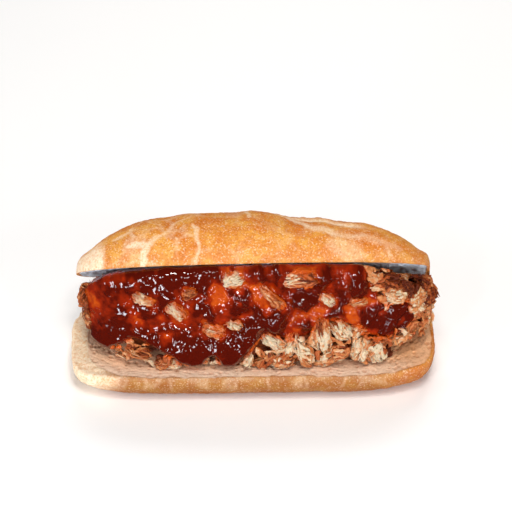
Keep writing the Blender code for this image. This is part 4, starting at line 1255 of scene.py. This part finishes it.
def build_torn_pieces(name, pieces, rings, around, seed):
    """All torn pieces of one kind, as one piece of many closed bodies."""
    rng = np.random.RandomState(seed)
    fields = shared_layout()["fields"]
    bodies, first_tips, last_tips, grains, tones = [], [], [], [], []
    for piece, half_length, half_width, depth, ends, covered in pieces:
        thin = 1.0 if covered else 0.84
        points, first, last, vv = torn_body(
            rng, piece, half_length * thin, half_width * thin, depth * thin, rings, around
        )
        _, run, side, out = piece
        points = roughened(roughened(points, 0.0044, 0.0011, seed), 0.0015, 0.00042, seed + 5)
        if covered:
            points, first, last = (pressed_under(place, fields) for place in (points, first, last))
        offset = rng.uniform(0, 0.3, 3)
        local = points - piece[0]
        grain = np.stack([local @ run * GRAIN_SQUEEZE, local @ side, local @ out], axis=-1) + offset
        patch = 0.18 * value_noise(points, 0.0035, seed + 3)
        tone = ends[0] + (ends[1] - ends[0]) * smoothstep(-0.8, 0.8, vv) + patch + 0.30
        bodies.append(points)
        first_tips.append(first)
        last_tips.append(last)
        grains.append(np.concatenate([grain.reshape(-1, 3), [offset, offset]]))
        tones.append(np.concatenate([tone.ravel(), [ends[0], ends[1]]]))
    points, quads, triangles = many_skins(np.array(bodies), np.array(first_tips), np.array(last_tips))
    points = keep_clear(points)
    attributes = pork_attributes(points, np.concatenate(grains), np.concatenate(tones), fields)
    made = build_mesh(name, points, quads, triangles, pork_material(), attributes)
    return finish_piece(made, "pulled_pork_meat", "pulled_pork")


def strand_skins(paths, radii, flat, around):
    """Closed strands along paths of equal count: each ring is an ellipse across the path, flatter by flat."""
    run = np.gradient(paths, axis=1)
    run /= np.linalg.norm(run, axis=-1, keepdims=True) + 1e-12
    outward = paths * (0, 1, 1) - (0, *HEAP_AXIS)
    side = np.cross(outward, run)
    side /= np.linalg.norm(side, axis=-1, keepdims=True) + 1e-12
    up = np.cross(run, side)
    u = np.linspace(0, 2 * math.pi, around, endpoint=False)
    rings = paths[:, :, None] + radii[:, :, None, None] * (
        side[:, :, None] * np.cos(u)[:, None] + up[:, :, None] * np.sin(u)[:, None] * flat
    )
    first = paths[:, 0] - run[:, 0] * radii[:, :1]
    last = paths[:, -1] + run[:, -1] * radii[:, -1:]
    return many_skins(rings, first, last)


def strand_grain(paths, around, rng):
    """Grain coordinates for strands: distance along each, squeezed, with a random place for each strand."""
    bodies, count = paths.shape[:2]
    steps = np.linalg.norm(np.diff(paths, axis=1, prepend=paths[:, :1]), axis=-1)
    along = np.cumsum(steps, axis=1) * GRAIN_SQUEEZE
    grain = np.zeros((bodies, count, around, 3))
    grain[..., 0] = along[:, :, None]
    grain[..., 1] = 0.0006 * np.cos(np.linspace(0, 2 * math.pi, around, endpoint=False))
    grain += rng.uniform(0, 0.3, (bodies, 1, 1, 3))
    ends = grain[:, [0, -1], 0]
    return np.concatenate([grain.reshape(bodies, -1, 3), ends], axis=1).reshape(-1, 3)


def build_strands(name, strands, flat, around, rng, waves=(), patch_seed=None):
    """One piece of many closed strands, each given by its path, radii and tone. Waves move its points by
    noise: size, reach and seed of each. Where there is a seed for patches, noise of 3 mm changes the tone."""
    paths, radii, tones = (np.array(column) for column in zip(*strands))
    points, quads, triangles = strand_skins(paths, radii, flat, around)
    for wave in waves:
        points = roughened(points, *wave)
    points = keep_clear(points)
    grain = strand_grain(paths, around, rng)
    tone = np.repeat(tones, len(points) // len(tones))
    if patch_seed is not None:
        tone = tone + 0.15 * value_noise(points, 0.003, patch_seed)
    attributes = pork_attributes(points, grain, tone, shared_layout()["fields"])
    made = build_mesh(name, points, quads, triangles, pork_material(), attributes)
    return finish_piece(made, "pulled_pork_meat")


def build_bundles(name, pieces, count, seed):
    """Bundles of fibres that make up a torn piece's outside: thick, lumpy strands side by side along its
    grain, each with its own torn ends, on an oval round the piece's middle."""
    rng = np.random.RandomState(seed)
    t = np.linspace(-1, 1, 12)
    strands = []
    for (place, run, side, out), half_length, half_width, depth, ends, _ in pieces:
        # Bundles lie side by side from just under the piece's one side, over its top, to under the other
        shares = (np.arange(count) + rng.uniform(-0.35, 0.35, count)) / count
        for u in shares * 1.16 * math.pi - 0.08 * math.pi:
            middle, half = rng.uniform(-0.62, 0.62), rng.uniform(0.20, 0.48)
            v = np.clip(middle + half * t, -1.12, 1.12)
            body = (1 - np.minimum(np.abs(v), 0.93) ** 5) ** 0.5
            share = rng.uniform(0.72, 1.02) * body
            drift = u + rng.uniform(-0.55, 0.55) * t
            rise = np.sin(drift) * share * depth * PIECE_RISE - PIECE_BOW * half_length * v**2
            path = place + out * depth * PIECE_SEAT + run * (v * half_length)[:, None]
            path = path + side * (np.cos(drift) * share * half_width)[:, None] + out * rise[:, None]
            width = rng.uniform(0.15, 0.30) * half_width
            radii = width * (1 - 0.55 * np.abs(t) ** 5) * (1 + 0.25 * np.sin(7 * t + u * 9))
            tone = ends[0] + (ends[1] - ends[0]) * smoothstep(-0.8, 0.8, middle) + rng.uniform(-0.20, 0.22)
            strands.append((path, radii, tone))
    waves = ((0.0044, 0.0011, seed), (0.0012, 0.0003, seed + 5))
    return build_strands(name, strands, 0.85, 7, rng, waves, seed)


def build_frayed_fibres():
    """Loose fibres on the torn pieces: each follows the grain over a piece's top and out past its end."""
    look = bpy.context.scene.sandwich_pork
    rng = np.random.RandomState(211)
    strands = []
    t = np.linspace(0, 1, 9)
    for (place, run, side, out), half_length, half_width, depth, ends, covered in shared_layout()["pieces"]:
        for _ in range(0 if covered else 14):
            u = rng.uniform(0.1, 0.9) * math.pi
            end = rng.choice((-1, 1))
            start_v = rng.uniform(-0.6, 0.6)
            end_v = end * rng.uniform(0.75, 1.02)
            over = rng.uniform(0.0, 1.0) ** 1.5 * look.fray / half_length
            v = start_v + (end_v + end * over - start_v) * t
            body = np.clip(np.abs(v), 0, 1)
            radius = (1 - np.minimum(body, 0.96) ** 6) ** 0.5 * rng.uniform(0.92, 1.08)
            drift = u + rng.uniform(-0.5, 0.5) * t
            curl = rng.uniform(-1, 1, 2) * 0.30
            past = np.clip(np.abs(v) - 0.85, 0, None) * half_length
            path = place + out * depth * PIECE_SEAT + run * (v * half_length)[:, None]
            path = path + side * (np.cos(drift) * radius * half_width + curl[0] * past)[:, None]
            rise = np.sin(drift) * radius * depth * PIECE_RISE + curl[1] * past
            path = path + out * (rise - PIECE_BOW * half_length * body**2)[:, None]
            width = look.fibre * rng.uniform(0.35, 0.75)
            radii = width * (1 - 0.7 * t**2) * np.clip(t * 5 + 0.3, 0, 1)
            tone = ends[0] if end < 0 else ends[1]
            strands.append((path, radii, tone + rng.uniform(-0.22, 0.16)))
    return build_strands("pork_fibres", strands, 0.8, 5, rng)


def build_shreds():
    """Loose shreds and bits that lie on the heap where no sauce covers it: arcs of a circle on its skin,
    lifted in the middle or at one end. Two in three are short, thick bits."""
    look = bpy.context.scene.sandwich_pork
    rng = np.random.RandomState(307)
    t = np.linspace(-1, 1, 11)
    strands = []
    while len(strands) < look.shreds:
        x = HEAP_MIDDLE + rng.uniform(-0.5, 0.5) * HEAP_LENGTH * 0.985
        turn = rng.uniform(*HEAP_TURNS)
        # One in five more at the right end, where the heap is loosest
        if rng.uniform() < 0.22:
            x = rng.uniform(0.060, 0.096)
            turn = rng.uniform(math.radians(110), math.radians(215))
        place, run, side, out = piece_frame(x, turn, rng.uniform(-90, 90))
        size, width = rng.uniform(0.0025, 0.0062), rng.uniform(0.0005, 0.0011)
        if rng.uniform() < 0.68:
            size, width = rng.uniform(0.0012, 0.0028), rng.uniform(0.0009, 0.0018)
        bend, lift, curl = rng.uniform(-0.9, 0.9), rng.uniform(0.0010, 0.0040), rng.uniform(-0.5, 0.9)
        tone = meat_tone(place, rng)
        inside = inside_sauce(place[None])[0] if place[1] < HEAP_AXIS[0] else -1
        hidden = inside > 0.001 or beyond_cut_face(place) > -0.0015 or place[2] < BASE_HEIGHT + 0.0012
        if hidden or drawn_back(place) > 0.55 or left_out(place, False):
            continue
        path = place + run * (t * size)[:, None] + side * (bend * size * t**2)[:, None]
        path = path + out * (lift + curl * 0.3 * size * t**2)[:, None]
        strands.append((path, width * (1 - 0.55 * t**4) * (1 + 0.25 * np.sin(5 * t + bend * 9)), tone))
    return build_strands("pork_shreds", strands, 0.6, 7, rng, ((0.0040, 0.0010, 311), (0.0012, 0.0003, 317)))


def build_pork_core():
    """The meat deep in the heap: the heap's own skin, 1 mm in, with noise lumps of 4 mm and 2 mm."""
    stations = np.sin(np.linspace(-math.pi / 2, math.pi / 2, 202)[1:-1])
    turn = even_turns(0, 360, 151)[:-1]
    x, turns = np.meshgrid(HEAP_MIDDLE + stations * HEAP_LENGTH / 2 * 0.985, turn, indexing="ij")
    skin, normals = heap_point(x, turns), heap_normal(x, turns)
    lumps = 0.0011 * layered_noise(skin, 0.0045, 401) - 0.0010 - 0.0055 * drawn_back(skin)
    rings = keep_clear(skin + normals * lumps[..., None])
    ends = [(HEAP_MIDDLE + sign * HEAP_LENGTH / 2 * 0.985, *HEAP_AXIS) for sign in (-1, 1)]
    points, quads, triangles = closed_skin(rings, *ends)
    # The core's dark tone is painted shade: it shows only between the pieces and in the hollow, where shade
    # falls
    tone = np.clip(0.85 + 0.2 * layered_noise(points, 0.004, 405), 0, 1)
    grain = points * (0.3, 1, 1)
    attributes = pork_attributes(points, grain, tone, shared_layout()["fields"])
    made = build_mesh("pork_core", points, quads, triangles, pork_material(), attributes)
    return finish_piece(made, "pulled_pork_meat", "pulled_pork")


def pork_material():
    """Slow-cooked pork shoulder, pulled apart: moist muscle fibres, pale inside and brown where spice and
    sauce soaked in, with a soft gloss of juice."""
    made = bpy.data.materials.get("pulled_pork_fibres")
    if made:
        return made
    look = bpy.context.scene.sandwich_pork
    material, tree, shader = new_material("pulled_pork_fibres")
    grain, tone, soak = (
        add_node(tree, "ShaderNodeAttribute", output, {"attribute_name": key})
        for key, output in (("grain", "Vector"), ("tone", "Fac"), ("soak", "Fac"))
    )
    # Fibres are 0.6 mm apart, and the grain coordinate squeezes their length six times
    fibre = add_node(
        tree, "ShaderNodeTexNoise", "Fac", {"Scale": 1500.0, "Detail": 3.0, "Roughness": 0.6, "Vector": grain}
    )
    streak = add_node(
        tree, "ShaderNodeMapRange", 0,
        {"From Min": 0.3, "From Max": 0.7, "To Min": -0.20, "To Max": 0.20, "Value": fibre},
    )
    level = add_node(tree, "ShaderNodeMath", 0, {"operation": "ADD", "use_clamp": True, 0: tone, 1: streak})
    stops = ((0.0, look.lean), (0.13, look.lean), (0.37, look.peach), (0.64, look.roast), (0.93, look.bark))
    meat = add_node(tree, "ShaderNodeValToRGB", "Color", {"stops": stops, "Fac": level})
    stain = add_node(tree, "ShaderNodeMath", 0, {"operation": "MULTIPLY", 0: soak, 1: 0.92})
    stained = {"data_type": "RGBA", 0: stain, 6: meat, 7: bpy.context.scene.sandwich_sauce.thin}
    apply_settings(tree, shader, {
        "Base Color": add_node(tree, "ShaderNodeMix", 2, stained),
        "Roughness": add_node(tree, "ShaderNodeMapRange", 0, {"To Min": 0.50, "To Max": 0.18, "Value": soak}),
        "Normal": add_node(
            tree, "ShaderNodeBump", "Normal", {"Strength": 0.45, "Distance": 0.0005, "Height": fibre}
        ),
        "IOR": 1.42,
        "Subsurface Weight": 0.20,
        "Subsurface Radius": (1.0, 0.45, 0.25),
        "Subsurface Scale": 0.0012,
    })
    return material


# Stage


# Tints of the studio's lights
WARM, SOFT, PALE_BLUE, BLUE = (1.0, 0.97, 0.93), (1.0, 0.98, 0.96), (0.92, 0.95, 1.0), (0.84, 0.91, 1.0)

# Studio lights: name, place, width and height, share of the key light's or of the windows' power, and colour
STUDIO_LIGHTS = (
    ("key", (0.04, -0.46, 0.98), (0.34, 0.24), 0.83, WARM),
    ("fill", (0.75, -0.60, 0.38), (0.40, 0.40), 0.56, WARM),
    ("left_fill", (-0.90, -0.30, 0.36), (0.40, 0.40), 0.36, SOFT),
    ("back", (0.10, 0.70, 0.85), (0.70, 0.40), 1.20, SOFT),
    ("low", (0.20, -0.95, 0.05), (0.60, 0.12), 0.50, BLUE),
    ("window_side", (-0.88, -0.26, 0.20), (0.20, 0.26), 1.3, BLUE),
    ("window_left", (-0.58, -0.68, 0.17), (0.16, 0.22), 1.3, BLUE),
    ("window_front", (-0.10, -0.95, 0.16), (0.09, 0.13), 0.6, PALE_BLUE),
    ("window_right", (0.56, -0.78, 0.14), (0.08, 0.12), 0.5, PALE_BLUE),
    ("glint_left", (-0.30, -0.75, 0.62), (0.04, 0.06), 0.5, PALE_BLUE),
    ("glint_middle", (0.06, -0.62, 0.82), (0.06, 0.06), 0.9, WARM),
    ("glint_right", (0.42, -0.72, 0.60), (0.04, 0.05), 0.4, PALE_BLUE),
)
LIGHTS_AIM = Vector((0, 0, 0.045))
WORLD_STRENGTH = 0.04
FLOOR_HALF_WIDTH = 3.0
FLOOR_HEIGHT = -0.0001

# The camera stands as the photo's did: lens in millimetres, shift as shares of the picture, and the rest in
# degrees and metres
CAMERA_LENS = 159.1
CAMERA_SHIFT = (0.0082, 0.1157)
CAMERA_ELEVATION = 38.0
CAMERA_YAW = 1.2
CAMERA_DISTANCE = 1.25
CAMERA_AIM = Vector((0, 0, 0.030))


def build_floor():
    """A flat square floor, just under the roll."""
    look = bpy.context.scene.sandwich_stage
    material, tree, shader = new_material("pale_studio_floor")
    apply_settings(tree, shader, {"Base Color": look.floor, "Roughness": 0.9, "Specular IOR Level": 0.1})
    corners = np.array([(x, y, 0) for x, y in ((-1, -1), (1, -1), (1, 1), (-1, 1))]) * FLOOR_HALF_WIDTH
    corners[:, 2] = FLOOR_HEIGHT
    floor = build_mesh("floor", corners, np.array([[0, 1, 2, 3]]), np.zeros((0, 3), int), material)
    floor.visible_glossy = False


def build_stage():
    """A pale floor, soft studio light from above, window-like glints, and the camera."""
    build_floor()
    scene = bpy.context.scene
    look = scene.sandwich_stage
    scene.view_settings.view_transform = "Standard"
    scene.view_settings.look = "None"
    world = bpy.data.worlds.new("studio")
    world.use_nodes = True
    background = world.node_tree.nodes["Background"]
    apply_settings(world.node_tree, background, {"Color": (1.0, 1.0, 1.0), "Strength": WORLD_STRENGTH})
    scene.world = world
    for name, place, size, share, colour in STUDIO_LIGHTS:
        # The broad lights aren't mirrored, so that the sauce shows none but the small windows and glints
        mirrored = name.startswith(("window", "glint"))
        light = bpy.data.lights.new(name, "AREA")
        light.shape = "RECTANGLE"
        light.size, light.size_y = size
        light.energy = share * (look.windows if mirrored else look.key)
        light.color = colour
        made = bpy.data.objects.new(name, light)
        made.location = place
        made.visible_glossy = mirrored
        made.rotation_euler = (LIGHTS_AIM - Vector(place)).to_track_quat("-Z", "Y").to_euler()
        scene.collection.objects.link(made)
    camera = bpy.data.cameras.new("camera")
    camera.lens = CAMERA_LENS
    camera.shift_x, camera.shift_y = CAMERA_SHIFT
    camera.clip_start, camera.clip_end = 0.01, 20.0
    seat = bpy.data.objects.new("camera", camera)
    rise, yaw = math.radians(CAMERA_ELEVATION), math.radians(CAMERA_YAW)
    away = Vector((-math.sin(yaw) * math.cos(rise), -math.cos(yaw) * math.cos(rise), math.sin(rise)))
    seat.location = CAMERA_AIM + away * CAMERA_DISTANCE
    seat.rotation_euler = (-away).to_track_quat("-Z", "Y").to_euler()
    scene.collection.objects.link(seat)
    scene.camera = seat


class SANDWICH_OT_bread(bpy.types.Operator):
    """Makes both halves of the roll"""

    bl_idname = "sandwich.bread"
    bl_label = "Roll"

    def execute(self, context):
        build_base_bread()
        build_lid_bread()
        return {"FINISHED"}


class SANDWICH_OT_pork(bpy.types.Operator):
    """Makes the heap of pulled pork: its core, torn pieces, fibres and shreds"""

    bl_idname = "sandwich.pork"
    bl_label = "Pulled pork"

    def execute(self, context):
        pieces = shared_layout()["pieces"]
        build_pork_core()
        low = [piece for piece in pieces if piece[3] < DEEP_PIECE]
        proud = [piece for piece in pieces if piece[3] > DEEP_PIECE]
        # Pieces that stand out of the sauce get more rings along their grain and more points round them
        build_torn_pieces("pork_pieces", low, 22, 36, 223)
        build_torn_pieces("pork_proud_pieces", proud, 42, 64, 227)
        build_bundles("pork_bundles", [piece for piece in low if not piece[5]], 17, 229)
        build_bundles("pork_proud_bundles", proud, 34, 233)
        build_frayed_fibres()
        build_shreds()
        return {"FINISHED"}


class SANDWICH_OT_sauce(bpy.types.Operator):
    """Makes the blanket of barbecue sauce"""

    bl_idname = "sandwich.sauce"
    bl_label = "Barbecue sauce"

    def execute(self, context):
        build_sauce()
        return {"FINISHED"}


class SANDWICH_OT_stage(bpy.types.Operator):
    """Makes the floor, the lights and the camera"""

    bl_idname = "sandwich.stage"
    bl_label = "Stage"

    def execute(self, context):
        build_stage()
        return {"FINISHED"}


class SANDWICH_PT_panel(bpy.types.Panel):
    """Lists the sandwich's pieces and settings"""

    bl_idname = "SANDWICH_PT_panel"
    bl_label = "Sandwich"
    bl_space_type = "VIEW_3D"
    bl_region_type = "UI"
    bl_category = "Sandwich"

    def draw(self, context):
        for settings, _, operator in SECTIONS:
            box = self.layout.box()
            group = getattr(context.scene, settings)
            for key in group.__annotations__:
                box.prop(group, key)
            box.operator(operator)


# Each settings group's name on the scene, the group, and the operator that it serves
SECTIONS = (
    ("sandwich_bread", BreadSettings, "sandwich.bread"),
    ("sandwich_pork", PorkSettings, "sandwich.pork"),
    ("sandwich_sauce", SauceSettings, "sandwich.sauce"),
    ("sandwich_stage", StageSettings, "sandwich.stage"),
)
CLASSES = (
    BreadSettings, PorkSettings, SauceSettings, StageSettings,
    SANDWICH_OT_bread, SANDWICH_OT_pork, SANDWICH_OT_sauce, SANDWICH_OT_stage, SANDWICH_PT_panel,
)


def register():
    """Registers the classes and hangs the settings on the scene."""
    for made in CLASSES:
        bpy.utils.register_class(made)
    for key, group, _ in SECTIONS:
        setattr(bpy.types.Scene, key, bpy.props.PointerProperty(type=group))


def unregister():
    """Takes the settings and the classes away again."""
    for key, _, _ in SECTIONS:
        delattr(bpy.types.Scene, key)
    for made in reversed(CLASSES):
        bpy.utils.unregister_class(made)


def main():
    """Makes every piece in order."""
    register()
    bpy.ops.sandwich.bread()
    bpy.ops.sandwich.pork()
    bpy.ops.sandwich.sauce()
    bpy.ops.sandwich.stage()


if __name__ == "__main__":
    main()
